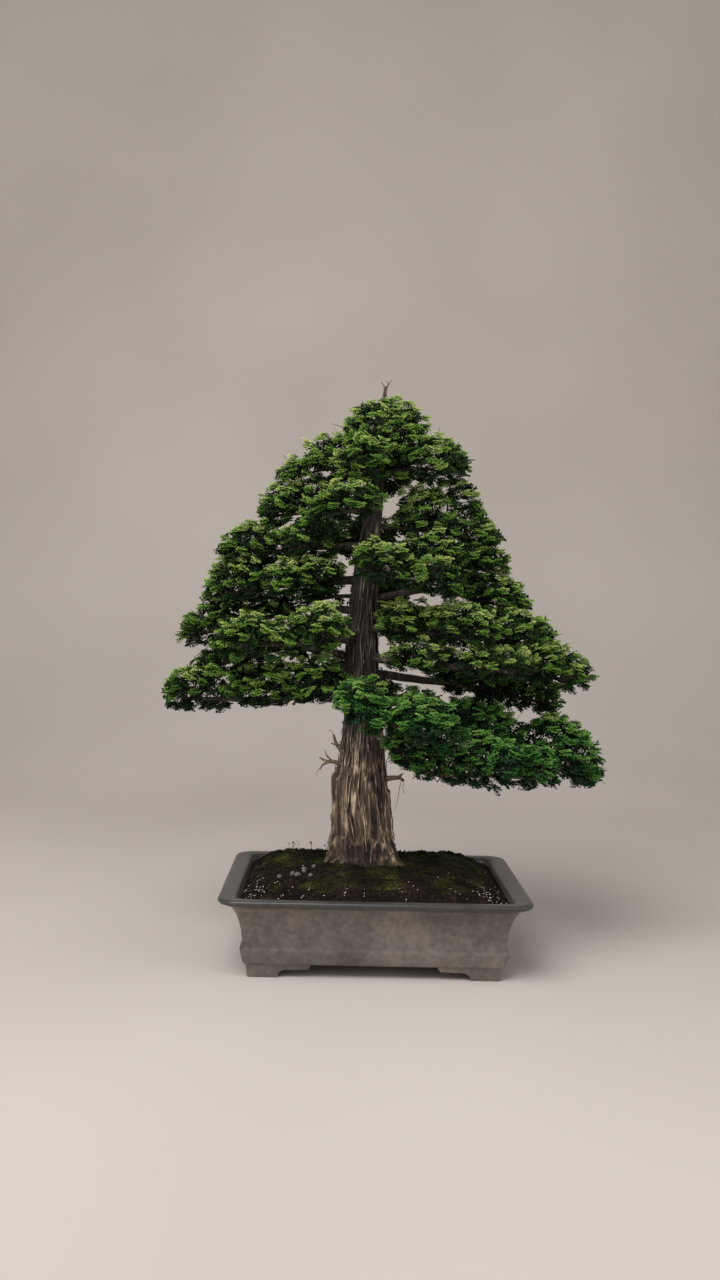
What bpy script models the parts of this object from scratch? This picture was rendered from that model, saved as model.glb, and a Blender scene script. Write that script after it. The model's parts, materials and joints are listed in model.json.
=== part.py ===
"""A Hinoki cypress bonsai, formal upright, in a rectangular stoneware pot.

Every position below is in metres in the pot's own frame: X to the right, Y to the back, Z up from the
surface that the feet stand on. One empty carries the pieces and shifts the whole plant, so that the
origin of the finished model lies under the middle of its crown.
"""

import math

import bmesh
import bpy
from mathutils import Vector

MM = 0.001
GAP = 0.35 * MM  # between pieces that touch
PLANT_SHIFT = (-0.0127, -0.03514, 0.0)  # puts the model's box over the origin

# ---------------------------------------------------------------- pot
RIM_HALF_WIDTH = 0.2362
RIM_HALF_DEPTH = 0.1730
RIM_HEIGHT = 0.1236
FRONT_INSET_SHARE = 0.85  # the front and back walls lean in a little less than the ends
FOOT_HEIGHT = 0.0205
UNDERSIDE_HEIGHT = 0.0215
FLOOR_HEIGHT = 0.0310
FOOT_WALL = 0.020
CORNER_STEPS = 5
SIDE_STEPS = 3
# height, inset from the rim's edge, corner radius
POT_OUTSIDE = [
    (0.0000, 0.0450, 0.004),
    (0.0200, 0.0425, 0.004),
    (0.0212, 0.0395, 0.006),
    (0.0260, 0.0375, 0.008),
    (0.0415, 0.0335, 0.010),
    (0.0446, 0.0340, 0.010),
    (0.0456, 0.0370, 0.009),
    (0.0620, 0.0362, 0.009),
    (0.0860, 0.0318, 0.011),
    (0.1020, 0.0245, 0.015),
    (0.1105, 0.0165, 0.020),
    (0.1140, 0.0080, 0.025),
    (0.1160, 0.0020, 0.029),
    (0.1200, 0.0000, 0.030),
    (0.1232, 0.0014, 0.029),
    (RIM_HEIGHT, 0.0040, 0.027),
]
# the cavity: height, inset, corner radius
POT_INSIDE = [
    (FLOOR_HEIGHT, 0.0490, 0.010),
    (0.0620, 0.0462, 0.011),
    (0.0860, 0.0418, 0.013),
    (0.1060, 0.0340, 0.016),
    (0.1150, 0.0290, 0.018),
    (RIM_HEIGHT + 0.002, 0.0255, 0.018),
]
# One half of the cut between two feet, as seen from outside: share of the half wall, height
FOOT_CUT = [(0.490, FOOT_HEIGHT), (0.515, 0.0128), (0.700, 0.0118), (0.725, 0.0100), (0.750, 0.0)]
DRAIN_HOLE = (0.075, 0.012)  # distance from the middle, radius
WIRE_HOLE = (0.125, 0.003)

# ---------------------------------------------------------------- soil, moss and hidden fittings
GRIT_TOP = 0.0450
SOIL_EDGE_HEIGHT = 0.1120
SOIL_MOUND = 0.0300
SOIL_AT_TRUNK = 0.0050
SOIL_RINGS = 8
MOSS_THICKNESS = 0.0045
# The moss is one blanket on the soil: which of the soil's rings it covers, by points round a ring
MOSS_RINGS = [(0, 5, 2), (6, 11, 3), (12, 17, 2), (18, 21, 3), (22, 25, 1), (26, 28, 3), (32, 33, 3), (34, 35, 1)]
MOSS_INNER_RING = 6
SCREEN_SIDE = 0.036
SCREEN_THICKNESS = 0.0012
SCREEN_HOLE = 0.0056
SCREEN_PITCH = 0.0080
CLIP_WIRE = 0.0009
TIE_WIRE = 0.00125

# ---------------------------------------------------------------- trunk: height, x, y, radius
TRUNK = [
    (0.092, -0.018, 0.032, 0.060),
    (0.112, -0.018, 0.032, 0.073),
    (0.133, -0.018, 0.031, 0.068),
    (0.158, -0.018, 0.031, 0.056),
    (0.191, -0.019, 0.030, 0.0475),
    (0.241, -0.022, 0.029, 0.0445),
    (0.276, -0.024, 0.028, 0.0425),
    (0.307, -0.022, 0.028, 0.0365),
    (0.340, -0.022, 0.028, 0.0325),
    (0.372, -0.023, 0.029, 0.0295),
    (0.430, -0.026, 0.031, 0.0275),
    (0.490, -0.028, 0.032, 0.0255),
    (0.550, -0.026, 0.033, 0.0225),
    (0.606, -0.024, 0.033, 0.0210),
    (0.665, -0.019, 0.032, 0.0175),
    (0.730, -0.012, 0.031, 0.0135),
    (0.790, -0.007, 0.031, 0.0095),
    (0.845, -0.003, 0.030, 0.0062),
    (0.885, -0.002, 0.030, 0.0038),
    (0.905, -0.001, 0.030, 0.0026),
    (0.920, 0.001, 0.030, 0.0020),
]
TRUNK_SIDES = 20
ROOTS = [(-0.62, 0.26), (0.95, 0.16), (2.25, 0.22), (3.35, 0.24), (4.55, 0.16)]  # direction, swell
ROOT_WIDTH = 0.34
ROOT_TOP = 0.235  # the roots' ridges fade out here
FLUTES = 7
FLUTE_DEPTH = 0.045
# Dead wood left on the trunk: stubs on the lower trunk and the forked dry leader above the crown
DEAD_WOOD = [
    ([(-0.040, 0.020, 0.318), (-0.056, 0.014, 0.333), (-0.064, 0.010, 0.349)], 0.0045),
    ([(-0.040, 0.016, 0.302), (-0.066, 0.008, 0.309), (-0.090, 0.004, 0.316)], 0.0042),
    ([(0.000, 0.022, 0.276), (0.020, 0.010, 0.282), (0.036, 0.004, 0.286)], 0.0052),
    ([(0.001, 0.030, 0.910), (0.004, 0.030, 0.922), (0.009, 0.030, 0.931)], 0.0019),
    ([(0.000, 0.030, 0.914), (-0.002, 0.030, 0.923), (-0.007, 0.030, 0.929)], 0.0018),
]

# ---------------------------------------------------------------- branches and their foliage
# Name, radius at the trunk, radius at the tip, route, and the clouds of foliage on it, which merge
# into one mass: x, y, length, depth, height. Millimetres.
BRANCHES = [
    ("left_low", 9.0, 2.5, [(-28, 30, 430), (-95, -5, 420), (-186, 0, 407), (-318, 18, 404)],
     [(-104, -18, 108, 98, 50), (-187, 2, 124, 132, 52), (-292, 18, 128, 104, 46)]),
    ("front_low", 7.0, 2.5, [(-24, 20, 405), (-20, -50, 404), (2, -105, 388), (95, -135, 362)],
     [(-22, -116, 100, 104, 50), (70, -132, 124, 100, 52)]),
    ("right_low", 10.0, 2.5, [(-22, 34, 385), (60, 52, 376), (183, 58, 345), (345, 32, 290)],
     [(78, 60, 84, 92, 42), (183, 60, 156, 124, 58), (312, 32, 136, 132, 78)]),
    ("right_low_front", 6.0, 2.0,
     [(-20, 24, 372), (22, -20, 336), (68, -58, 304), (165, -74, 303), (250, -66, 298)],
     [(60, -74, 108, 100, 48), (166, -76, 134, 112, 56), (254, -56, 76, 84, 44)]),
    ("left_mid_back", 7.0, 2.0,
     [(-28, 32, 474), (-90, 34, 486), (-155, 40, 490), (-237, 50, 466), (-290, 52, 450)],
     [(-240, 50, 128, 92, 38)]),
    ("left_mid", 7.0, 2.0,
     [(-26, 26, 522), (-60, -12, 511), (-98, -34, 501), (-200, -46, 496), (-262, -44, 492)],
     [(-99, -44, 98, 86, 48), (-202, -50, 144, 84, 42)]),
    ("left_mid_high", 6.5, 2.0,
     [(-26, 34, 552), (-80, 44, 556), (-140, 56, 551), (-215, 54, 530), (-306, 36, 505)],
     [(-182, 70, 92, 92, 34), (-268, 44, 122, 90, 50)]),
    ("left_thin", 4.0, 1.5, [(-25, 36, 576), (-66, 58, 577), (-98, 68, 571), (-132, 72, 563)],
     [(-99, 70, 72, 62, 24)]),
    ("left_upper", 7.0, 2.0, [(-25, 28, 604), (-99, 18, 598), (-180, 14, 588), (-278, 28, 570)],
     [(-127, -2, 142, 92, 38), (-230, 20, 128, 104, 50)]),
    ("left_high", 6.0, 2.0, [(-22, 30, 660), (-112, 10, 654), (-180, 20, 645), (-258, 30, 630)],
     [(-115, 0, 118, 92, 42), (-214, 26, 114, 104, 50)]),
    ("left_crown", 5.0, 1.5, [(-16, 32, 718), (-90, 34, 716), (-150, 32, 709), (-188, 30, 702)],
     [(-92, 28, 64, 84, 42), (-156, 32, 94, 94, 48)]),
    ("right_crown", 5.0, 1.5, [(-12, 32, 694), (60, 38, 690), (120, 42, 682), (186, 40, 668)],
     [(74, 38, 106, 98, 66), (154, 40, 94, 98, 46), (130, 34, 82, 78, 92)]),
    ("right_high", 6.0, 2.0,
     [(-14, 30, 640), (40, 18, 630), (90, 16, 626), (134, 30, 628), (200, 42, 626)],
     [(84, 16, 112, 92, 44), (162, 36, 106, 92, 38)]),
    ("right_upper", 6.0, 2.0,
     [(-8, 32, 574), (50, 30, 587), (99, 30, 591), (149, 38, 580), (240, 52, 560)],
     [(189, 50, 138, 98, 44)]),
    ("right_mid_high", 7.0, 2.0,
     [(-20, 26, 526), (33, -8, 522), (131, -24, 514), (190, 10, 512), (285, 58, 502)],
     [(35, -20, 92, 86, 44), (134, -26, 126, 104, 46), (218, 26, 160, 118, 48)]),
    ("right_mid", 8.0, 2.0,
     [(-22, 28, 478), (66, -12, 472), (186, -32, 464), (250, -2, 457), (338, 22, 444)],
     [(68, -22, 122, 86, 26), (186, -36, 140, 96, 30), (284, 10, 136, 104, 50)]),
    ("right_mid_back", 7.0, 2.0,
     [(-22, 36, 452), (60, 70, 442), (150, 90, 430), (216, 94, 418), (300, 88, 402)],
     [(160, 96, 118, 104, 38), (258, 92, 118, 104, 38)]),
    ("front_mid", 4.5, 1.5,
     [(-18, 22, 622), (-10, -20, 618), (5, -58, 609), (60, -66, 600), (112, -58, 592)],
     [(7, -66, 128, 82, 42), (92, -60, 74, 66, 40)]),
    ("front_high", 4.5, 1.5, [(-10, 22, 718), (-20, -20, 717), (-45, -50, 710), (-104, -58, 698)],
     [(-62, -54, 120, 78, 44)]),
    ("back_low", 6.5, 2.0, [(-26, 40, 430), (-44, 100, 429), (-34, 165, 418), (-10, 240, 398)],
     [(-40, 138, 124, 92, 46), (-12, 210, 126, 88, 42)]),
    ("back_left", 5.0, 2.0, [(-26, 38, 505), (-80, 90, 500), (-116, 145, 488), (-132, 175, 480)],
     [(-108, 140, 116, 92, 42)]),
    ("back_right", 5.0, 2.0, [(-20, 40, 534), (50, 95, 530), (104, 145, 517), (128, 172, 508)],
     [(96, 140, 118, 92, 42)]),
    ("back_mid", 5.0, 2.0, [(-24, 42, 584), (-2, 100, 582), (6, 160, 570), (4, 222, 548)],
     [(0, 126, 112, 88, 44), (4, 190, 106, 82, 38)]),
    ("back_high", 4.5, 1.5, [(-14, 42, 672), (-20, 90, 672), (-30, 140, 660), (-34, 170, 650)],
     [(-26, 122, 122, 88, 44)]),
]
# The short shoots of the leader, which stay part of the trunk, and the clouds of the crown on them
CROWN_SHOOTS = [
    (4.0, 1.5, [(-8, 32, 786), (-55, 34, 787), (-105, 34, 781), (-150, 40, 766)],
     [(-92, 34, 92, 92, 54), (-148, 40, 60, 66, 30)]),
    (4.0, 1.5, [(-4, 28, 778), (50, 18, 786), (104, 12, 784), (142, 12, 776)],
     [(80, 12, 134, 112, 50)]),
    (3.0, 1.5, [(-4, 24, 776), (-14, -8, 780), (-36, -34, 774), (-66, -44, 764)],
     [(-34, -36, 96, 78, 52)]),
    (3.0, 1.5, [(-6, 38, 774), (-4, 62, 782), (2, 90, 778), (4, 116, 768)],
     [(2, 84, 112, 90, 52)]),
]
# The cloud at the very top grows round the leader: x, y, base height, length, depth, height
APEX_CLOUD = (4, 30, 820, 160, 138, 78)
ROUTE_STEPS = 9
CLOUD_SIDES = 12
CLOUD_BANDS = 8
CLOUD_LOBES = 0.10
CLOUD_SWELLS = 0.12


def clear_scene():
    for old in list(bpy.data.objects):
        bpy.data.objects.remove(old)


def collection(name):
    group = bpy.data.collections.new(name)
    bpy.context.scene.collection.children.link(group)
    return group


def material(name, colour, roughness, metallic=0.0):
    made = bpy.data.materials.new(name)
    made.use_nodes = True
    surface = made.node_tree.nodes["Principled BSDF"]
    surface.inputs["Base Color"].default_value = (*colour, 1.0)
    surface.inputs["Roughness"].default_value = roughness
    surface.inputs["Metallic"].default_value = metallic
    return made


class Bench:
    """Where pieces and cutters are put: two collections and the empty that carries both."""

    def __init__(self):
        self.pieces = collection("bonsai_in_pot")
        self.cutters = collection("cutters")
        self.carrier = bpy.data.objects.new("plant_origin", None)
        self.carrier.location = PLANT_SHIFT
        self.pieces.objects.link(self.carrier)

    def piece(self, name, mesh, surface):
        made = bpy.data.objects.new(name, mesh)
        mesh.materials.append(surface)
        mesh.shade_smooth()
        mesh.set_sharp_from_angle(angle=math.radians(35))
        made.parent = self.carrier
        self.pieces.objects.link(made)
        return made

    def cutter(self, name, mesh):
        made = bpy.data.objects.new(name, mesh)
        made.parent = self.carrier
        made.hide_render = True
        made.display_type = "WIRE"
        self.cutters.objects.link(made)
        return made

    def merge(self, target, meshes):
        """Join more closed meshes to a piece that they overlap."""
        for number, mesh in enumerate(meshes):
            self.boolean(target, self.cutter(f"{target.name}_and_{number + 1}", mesh), "UNION")

    def boolean(self, target, other, operation="DIFFERENCE"):
        step = target.modifiers.new(other.name, "BOOLEAN")
        step.operation = operation
        step.solver = "EXACT"
        step.object = other


def finished(bm, name):
    """The mesh of bm, with every face turned out."""
    bmesh.ops.recalc_face_normals(bm, faces=bm.faces)
    mesh = bpy.data.meshes.new(name)
    bm.to_mesh(mesh)
    bm.free()
    return mesh


# ---------------------------------------------------------------- shapes
def rounded_rectangle(half_width, half_depth, radius, height):
    """Points round a level rectangle with round corners, starting at its right end."""
    points = []
    for corner, (side_x, side_y) in enumerate([(1, 1), (-1, 1), (-1, -1), (1, -1)]):
        for step in range(CORNER_STEPS + 1):
            turn = math.pi / 2 * (corner + step / CORNER_STEPS)
            x = side_x * (half_width - radius) + radius * math.cos(turn)
            y = side_y * (half_depth - radius) + radius * math.sin(turn)
            points.append(Vector((x, y, height)))
    corners = [points[i:i + CORNER_STEPS + 1] for i in range(0, len(points), CORNER_STEPS + 1)]
    ring = []
    for corner, following in zip(corners, corners[1:] + corners[:1]):
        shares = [step / (SIDE_STEPS + 1) for step in range(1, SIDE_STEPS + 1)]
        ring += corner + [corner[-1].lerp(following[0], share) for share in shares]
    return ring


def loft(rings, name):
    """A closed solid through rings of equally many points, capped at both ends."""
    bm = bmesh.new()
    rows = [[bm.verts.new(point) for point in ring] for ring in rings]
    for low, high in zip(rows, rows[1:]):
        for i in range(len(low)):
            j = (i + 1) % len(low)
            bm.faces.new((low[i], low[j], high[j]))
            bm.faces.new((low[i], high[j], high[i]))
    bm.faces.new(rows[0])
    bm.faces.new(rows[-1])
    return finished(bm, name)


def between(rows, height):
    """The values of a table whose first column is height, read at one height."""
    for low, high in zip(rows, rows[1:]):
        if height <= high[0]:
            share = max(0.0, (height - low[0]) / (high[0] - low[0]))
            return [a + (b - a) * share for a, b in zip(low[1:], high[1:])]
    return list(rows[-1][1:])


def pot_ring(height, inset, radius, grow=0.0):
    half_width = RIM_HALF_WIDTH - inset + grow
    half_depth = RIM_HALF_DEPTH - FRONT_INSET_SHARE * inset + grow
    return rounded_rectangle(half_width, half_depth, max(radius + grow, 0.002), height)


def cavity_ring(height, grow=0.0):
    inset, radius = between(POT_INSIDE, height)
    return pot_ring(height, inset, radius, grow)


def box_mesh(centre, size, name):
    bm = bmesh.new()
    bmesh.ops.create_cube(bm, size=1.0)
    for vert in bm.verts:
        vert.co = Vector(c * s for c, s in zip(vert.co, size)) + Vector(centre)
    return finished(bm, name)


def cylinder_mesh(x, radius, low, high, name, sides=16):
    bm = bmesh.new()
    bmesh.ops.create_cone(bm, cap_ends=True, segments=sides, radius1=radius, radius2=radius, depth=high - low)
    bmesh.ops.translate(bm, verts=bm.verts, vec=(x, 0.0, (low + high) / 2))
    return finished(bm, name)


def smooth_route(points, steps=ROUTE_STEPS):
    """A Catmull-Rom curve through points, read at steps + 1 even places."""
    ends = [2 * points[0] - points[1], *points, 2 * points[-1] - points[-2]]
    found = []
    for step in range(steps + 1):
        along = step / steps * (len(points) - 1)
        k = min(int(along), len(points) - 2)
        t = along - k
        a, b, c, d = ends[k:k + 4]
        found.append(0.5 * (2 * b + (c - a) * t + (2 * a - 5 * b + 4 * c - d) * t ** 2
                            + (3 * b - a - 3 * c + d) * t ** 3))
    return found


def tube_mesh(route, start_radius, end_radius, name, detail=1):
    """A tapered round tube along a route, as a welded mesh."""
    curve = bpy.data.curves.new(name, "CURVE")
    curve.dimensions = "3D"
    curve.bevel_depth = 1.0
    curve.bevel_resolution = detail
    curve.use_fill_caps = True
    spline = curve.splines.new("POLY")
    spline.points.add(len(route) - 1)
    for i, (point, place) in enumerate(zip(spline.points, route)):
        point.co = (*place, 1.0)
        point.radius = start_radius + (end_radius - start_radius) * i / (len(route) - 1)
    holder = bpy.data.objects.new(name, curve)
    bpy.context.scene.collection.objects.link(holder)
    bpy.context.view_layer.update()
    seen = holder.evaluated_get(bpy.context.evaluated_depsgraph_get())
    mesh = bpy.data.meshes.new_from_object(seen)
    bpy.data.objects.remove(holder)
    bpy.data.curves.remove(curve)
    bm = bmesh.new()
    bm.from_mesh(mesh)
    bpy.data.meshes.remove(mesh)
    bmesh.ops.remove_doubles(bm, verts=bm.verts, dist=0.00002)
    return finished(bm, name)


def joined(meshes, name):
    """Several closed meshes as one mesh, for a cutter."""
    bm = bmesh.new()
    for mesh in meshes:
        bm.from_mesh(mesh)
        bpy.data.meshes.remove(mesh)
    return finished(bm, name)


# ---------------------------------------------------------------- pot
def foot_cut_mesh(half_wall, through, along_x, name):
    """The opening between two feet, as a prism that runs right through the pot under its floor."""
    outline = [(share * half_wall, height) for share, height in FOOT_CUT]
    outline.append((outline[-1][0], -0.010))
    outline += [(-across, height) for across, height in reversed(outline)]
    bm = bmesh.new()
    faces = []
    for side in (-through, through):
        places = [(side, a, h) if along_x else (a, side, h) for a, h in outline]
        faces.append([bm.verts.new(place) for place in places])
    bm.faces.new(faces[0])
    bm.faces.new(faces[1])
    for i in range(len(outline)):
        j = (i + 1) % len(outline)
        bm.faces.new((faces[0][i], faces[0][j], faces[1][j], faces[1][i]))
    return finished(bm, name)


def make_pot(bench, stoneware):
    """One fired piece: a flared lip, hollow walls with a band at their foot, and four bracket feet."""
    rings = [pot_ring(height, inset, radius) for height, inset, radius in POT_OUTSIDE]
    pot = bench.piece("pot", loft(rings, "pot"), stoneware)
    cavity = [pot_ring(height, inset, radius) for height, inset, radius in POT_INSIDE]
    bench.boolean(pot, bench.cutter("cavity", loft(cavity, "cavity")))
    foot_x = RIM_HALF_WIDTH - POT_OUTSIDE[1][1]
    foot_y = RIM_HALF_DEPTH - FRONT_INSET_SHARE * POT_OUTSIDE[1][1]
    under = (2 * (foot_x - FOOT_WALL), 2 * (foot_y - FOOT_WALL), 2 * UNDERSIDE_HEIGHT)
    bench.boolean(pot, bench.cutter("front_feet_cut", foot_cut_mesh(foot_x, 0.25, False, "front_feet_cut")))
    bench.boolean(pot, bench.cutter("side_feet_cut", foot_cut_mesh(foot_y, 0.30, True, "side_feet_cut")))
    bench.boolean(pot, bench.cutter("under_recess", box_mesh((0, 0, 0), under, "under_recess")))
    for word, (distance, radius) in (("drain_hole", DRAIN_HOLE), ("wire_hole", WIRE_HOLE)):
        for side in (-1, 1):
            name = f"{word}_{'left' if side < 0 else 'right'}"
            hole = cylinder_mesh(side * distance, radius, 0.012, 0.040, name)
            bench.boolean(pot, bench.cutter(name, hole))


# ---------------------------------------------------------------- what lies in the pot
def make_screens(bench, plastic, aluminium):
    """A square of plastic mesh over each drain hole keeps the grit in, and a wire clip holds it."""
    for word, side in (("left", -1), ("right", 1)):
        x, z = side * DRAIN_HOLE[0], FLOOR_HEIGHT + GAP + SCREEN_THICKNESS / 2
        plate = box_mesh((x, 0.0, z), (SCREEN_SIDE, SCREEN_SIDE, SCREEN_THICKNESS), "screen")
        screen = bench.piece(f"drain_screen_{word}", plate, plastic)
        punches = []
        for number in range(16):
            place = (x + (number // 4 - 1.5) * SCREEN_PITCH, (number % 4 - 1.5) * SCREEN_PITCH, z)
            punches.append(box_mesh(place, (SCREEN_HOLE, SCREEN_HOLE, 0.01), "punch"))
        bench.boolean(screen, bench.cutter(f"punches_{word}", joined(punches, "punches")))
        clip = tube_mesh(clip_route(x + SCREEN_PITCH / 2), CLIP_WIRE, CLIP_WIRE, "clip")
        bench.piece(f"screen_clip_{word}", clip, aluminium)


def clip_route(x):
    """A wire staple down through the screen and the drain hole, its legs bent out under the pot."""
    top = FLOOR_HEIGHT + GAP + SCREEN_THICKNESS + GAP + CLIP_WIRE
    low = UNDERSIDE_HEIGHT - GAP - CLIP_WIRE
    leg = 0.5 * SCREEN_PITCH
    half = [(leg, top), (leg, low + 0.002), (leg + 0.002, low), (leg + 0.012, low)]
    places = [(-across, height) for across, height in reversed(half)] + half
    return [Vector((x, across, height)) for across, height in places]


def tie_route(longer=0.0):
    """The wire that ties the root ball down: under the pot, up a wire hole each side, to the roots."""
    x = WIRE_HOLE[0]
    low = UNDERSIDE_HEIGHT - 5 * GAP - TIE_WIRE
    right = [(x - 0.002, low), (x, low + 0.002), (x, 0.060), (x - 0.010, 0.090), (x - 0.035, 0.106)]
    left = [(-across, height) for across, height in reversed(right)]
    left[0] = (-0.108, left[0][1])
    route = [Vector((across, 0.0, height)) for across, height in left + right]
    route[0] += longer * (route[0] - route[1]).normalized()
    route[-1] += longer * (route[-1] - route[-2]).normalized()
    return route


def soil_grid():
    """The soil's top as rings that shrink from the pot's wall to the trunk, and its bottom ring."""
    edge = cavity_ring(SOIL_EDGE_HEIGHT, -GAP)
    middle = Vector((TRUNK[2][1], TRUNK[2][2], SOIL_EDGE_HEIGHT))
    rings = []
    for k in range(SOIL_RINGS):
        share = 1.0 - 0.88 * k / (SOIL_RINGS - 1)
        ring = []
        for i, point in enumerate(edge):
            place = middle.lerp(point, share)
            bump = 0.0016 * math.sin(2.3 * i + 1.7 * k) if k else 0.0
            rise = SOIL_MOUND * (1 - share ** 4) + SOIL_AT_TRUNK * (1 - share) ** 2
            ring.append(place + Vector((0, 0, rise + bump)))
        rings.append(ring)
    return rings


def make_moss(bench, rings, green, trunk_room):
    """A blanket of living moss that lies on the soil round the trunk, following its surface."""
    bm = bmesh.new()
    rows = [[bm.verts.new(point + Vector((0, 0, 2 * GAP))) for point in ring] for ring in rings]
    for first, last, outer in MOSS_RINGS:
        for k in range(outer, MOSS_INNER_RING):
            for i in range(first, last + 1):
                low, high = rows[k], rows[k + 1]
                j = (i + 1) % len(low)
                bm.faces.new((low[i], low[j], high[j]))
                bm.faces.new((low[i], high[j], high[i]))
    bmesh.ops.delete(bm, geom=[vert for vert in bm.verts if not vert.link_faces], context="VERTS")
    copy = bmesh.ops.extrude_face_region(bm, geom=list(bm.faces), use_keep_orig=True)
    for item in copy["geom"]:
        if isinstance(item, bmesh.types.BMVert):
            item.co.z += MOSS_THICKNESS
    moss = bench.piece("moss", finished(bm, "moss"), green)
    bench.boolean(moss, trunk_room)


def make_bed(bench, grit_stone, earth, green, trunk_room, wire_room):
    """Grit over the floor, soil mounded to the trunk, and moss on it."""
    grit_rings = [cavity_ring(height, -GAP) for height in (FLOOR_HEIGHT + GAP, GRIT_TOP)]
    grit = bench.piece("drainage_grit", loft(grit_rings, "drainage_grit"), grit_stone)
    for word, side in (("left", -1), ("right", 1)):
        size = (SCREEN_SIDE + 2 * GAP, SCREEN_SIDE + 2 * GAP, 0.0085)
        room = box_mesh((side * DRAIN_HOLE[0], 0, FLOOR_HEIGHT), size, "screen_room")
        bench.boolean(grit, bench.cutter(f"screen_room_{word}", room))
    bench.boolean(grit, wire_room)

    rings = soil_grid()
    walls = [cavity_ring(height, -GAP) for height in (GRIT_TOP + GAP, 0.062, 0.086, 0.106)]
    soil = bench.piece("soil", loft(walls + rings, "soil"), earth)
    bench.boolean(soil, trunk_room)
    bench.boolean(soil, wire_room)
    make_moss(bench, rings, green, trunk_room)


# ---------------------------------------------------------------- trunk
def trunk_rings(grow=0.0):
    """Level rings up the trunk: ridged by roots at the foot, fluted bark above."""
    rings = []
    for number, (height, x, y, radius) in enumerate(TRUNK):
        root_share = max(0.0, min(1.0, (ROOT_TOP - height) / (ROOT_TOP - TRUNK[1][0])))
        flute_share = min(1.0, radius / 0.02)
        ring = []
        for side in range(TRUNK_SIDES):
            turn = 2 * math.pi * side / TRUNK_SIDES
            swell = 0.0
            for direction, size in ROOTS:
                off = math.remainder(turn - direction, 2 * math.pi)
                swell += size * math.exp(-(off / ROOT_WIDTH) ** 2)
            flute = FLUTE_DEPTH * math.sin(FLUTES * turn + 0.35 * number)
            reach = radius * (1 + root_share ** 2 * (swell - 0.16) + flute_share * flute) + grow
            ring.append(Vector((x + reach * math.cos(turn), y + reach * math.sin(turn), height)))
        rings.append(ring)
    rings[0] = [point - Vector((0, 0, grow)) for point in rings[0]]
    rings[-1] = [point + Vector((0, 0, grow)) for point in rings[-1]]
    return rings


def make_trunk(bench, bark):
    """The trunk with its roots, the dead stubs, the dry leader and the crown's short shoots: one
    piece of wood."""
    trunk = bench.piece("trunk", loft(trunk_rings(), "trunk"), bark)
    grown = []
    for route, radius in DEAD_WOOD:
        points = smooth_route([Vector(corner) for corner in route], 4)
        grown.append(tube_mesh(points, radius, 0.35 * radius, "dead_wood"))
    for thick, thin, corners, _ in CROWN_SHOOTS:
        points = smooth_route([Vector(corner) * MM for corner in corners])
        grown.append(tube_mesh(points, thick * MM, thin * MM, "crown_shoot"))
    bench.merge(trunk, grown)
    return bench.cutter("trunk_room", loft(trunk_rings(GAP), "trunk_room"))


# ---------------------------------------------------------------- branches and foliage
def dome(points, phase):
    """A cloud of foliage: a lobed dome with a flat underside, seated on its branch.

    points maps a place in the unit dome, x and y from -1 to 1 and z from 0 to 1, to the plant."""
    bm = bmesh.new()
    bmesh.ops.create_uvsphere(bm, u_segments=CLOUD_SIDES, v_segments=CLOUD_BANDS, radius=1.0)
    below = [vert for vert in bm.verts if vert.co.z < -0.001]
    bmesh.ops.delete(bm, geom=below, context="VERTS")
    rim = [edge for edge in bm.edges if edge.is_boundary]
    bmesh.ops.contextual_create(bm, geom=rim)
    for vert in bm.verts:
        turn = math.atan2(vert.co.y, vert.co.x)
        flat = math.hypot(vert.co.x, vert.co.y)
        spread = flat ** 0.75 if flat > 0.001 else 0.0
        lobes = 1 - CLOUD_LOBES * (1 + math.sin(3 * turn + phase)) / 2
        lobes -= 0.5 * CLOUD_LOBES * (1 + math.sin(5 * turn + 2.1 * phase)) / 2
        swell = 1 - CLOUD_SWELLS * (1 + math.sin(2 * turn + 1.3 * phase)) / 2 * flat
        height = max(vert.co.z, 0.0) ** 0.85 * swell
        vert.co = points(spread * lobes * math.cos(turn), spread * lobes * math.sin(turn), height)
    return finished(bm, "cloud")


def seated_dome(cloud, route, radii, phase):
    """A dome on a branch: its underside follows the branch's slope and clears its bark."""
    x, y, length, depth, height = (value * MM for value in cloud)
    nearest = min(range(len(route)), key=lambda i: (route[i].x - x) ** 2 + (route[i].y - y) ** 2)
    before, after = route[max(nearest - 1, 0)], route[min(nearest + 1, len(route) - 1)]
    heading = Vector((after.x - before.x, after.y - before.y))
    slope = (after.z - before.z) / heading.length
    heading.normalize()

    def tilt(px, py):
        return slope * ((px - x) * heading.x + (py - y) * heading.y)

    base = -1.0
    fine = smooth_route(route, 6 * (len(route) - 1))
    for i, point in enumerate(fine):
        inside = ((point.x - x) / (length / 2 + 0.012)) ** 2 + ((point.y - y) / (depth / 2 + 0.012)) ** 2
        if inside < 1:
            radius = radii[0] + (radii[1] - radii[0]) * i / (len(fine) - 1)
            base = max(base, point.z + radius * math.hypot(1, slope) - tilt(point.x, point.y))

    def points(u, v, w):
        px, py = x + u * length / 2, y + v * depth / 2
        return Vector((px, py, base + GAP + tilt(px, py) + w * height))

    return dome(points, phase)


def apex_dome():
    x, y, base, length, depth, height = (value * MM for value in APEX_CLOUD)
    return dome(lambda u, v, w: Vector((x + u * length / 2, y + v * depth / 2, base + w * height)), 0.4)


def make_foliage(bench, name, clouds, green, trunk_room):
    foliage = bench.piece(f"foliage_{name}", clouds[0], green)
    bench.merge(foliage, clouds[1:])
    bench.boolean(foliage, trunk_room)


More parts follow.
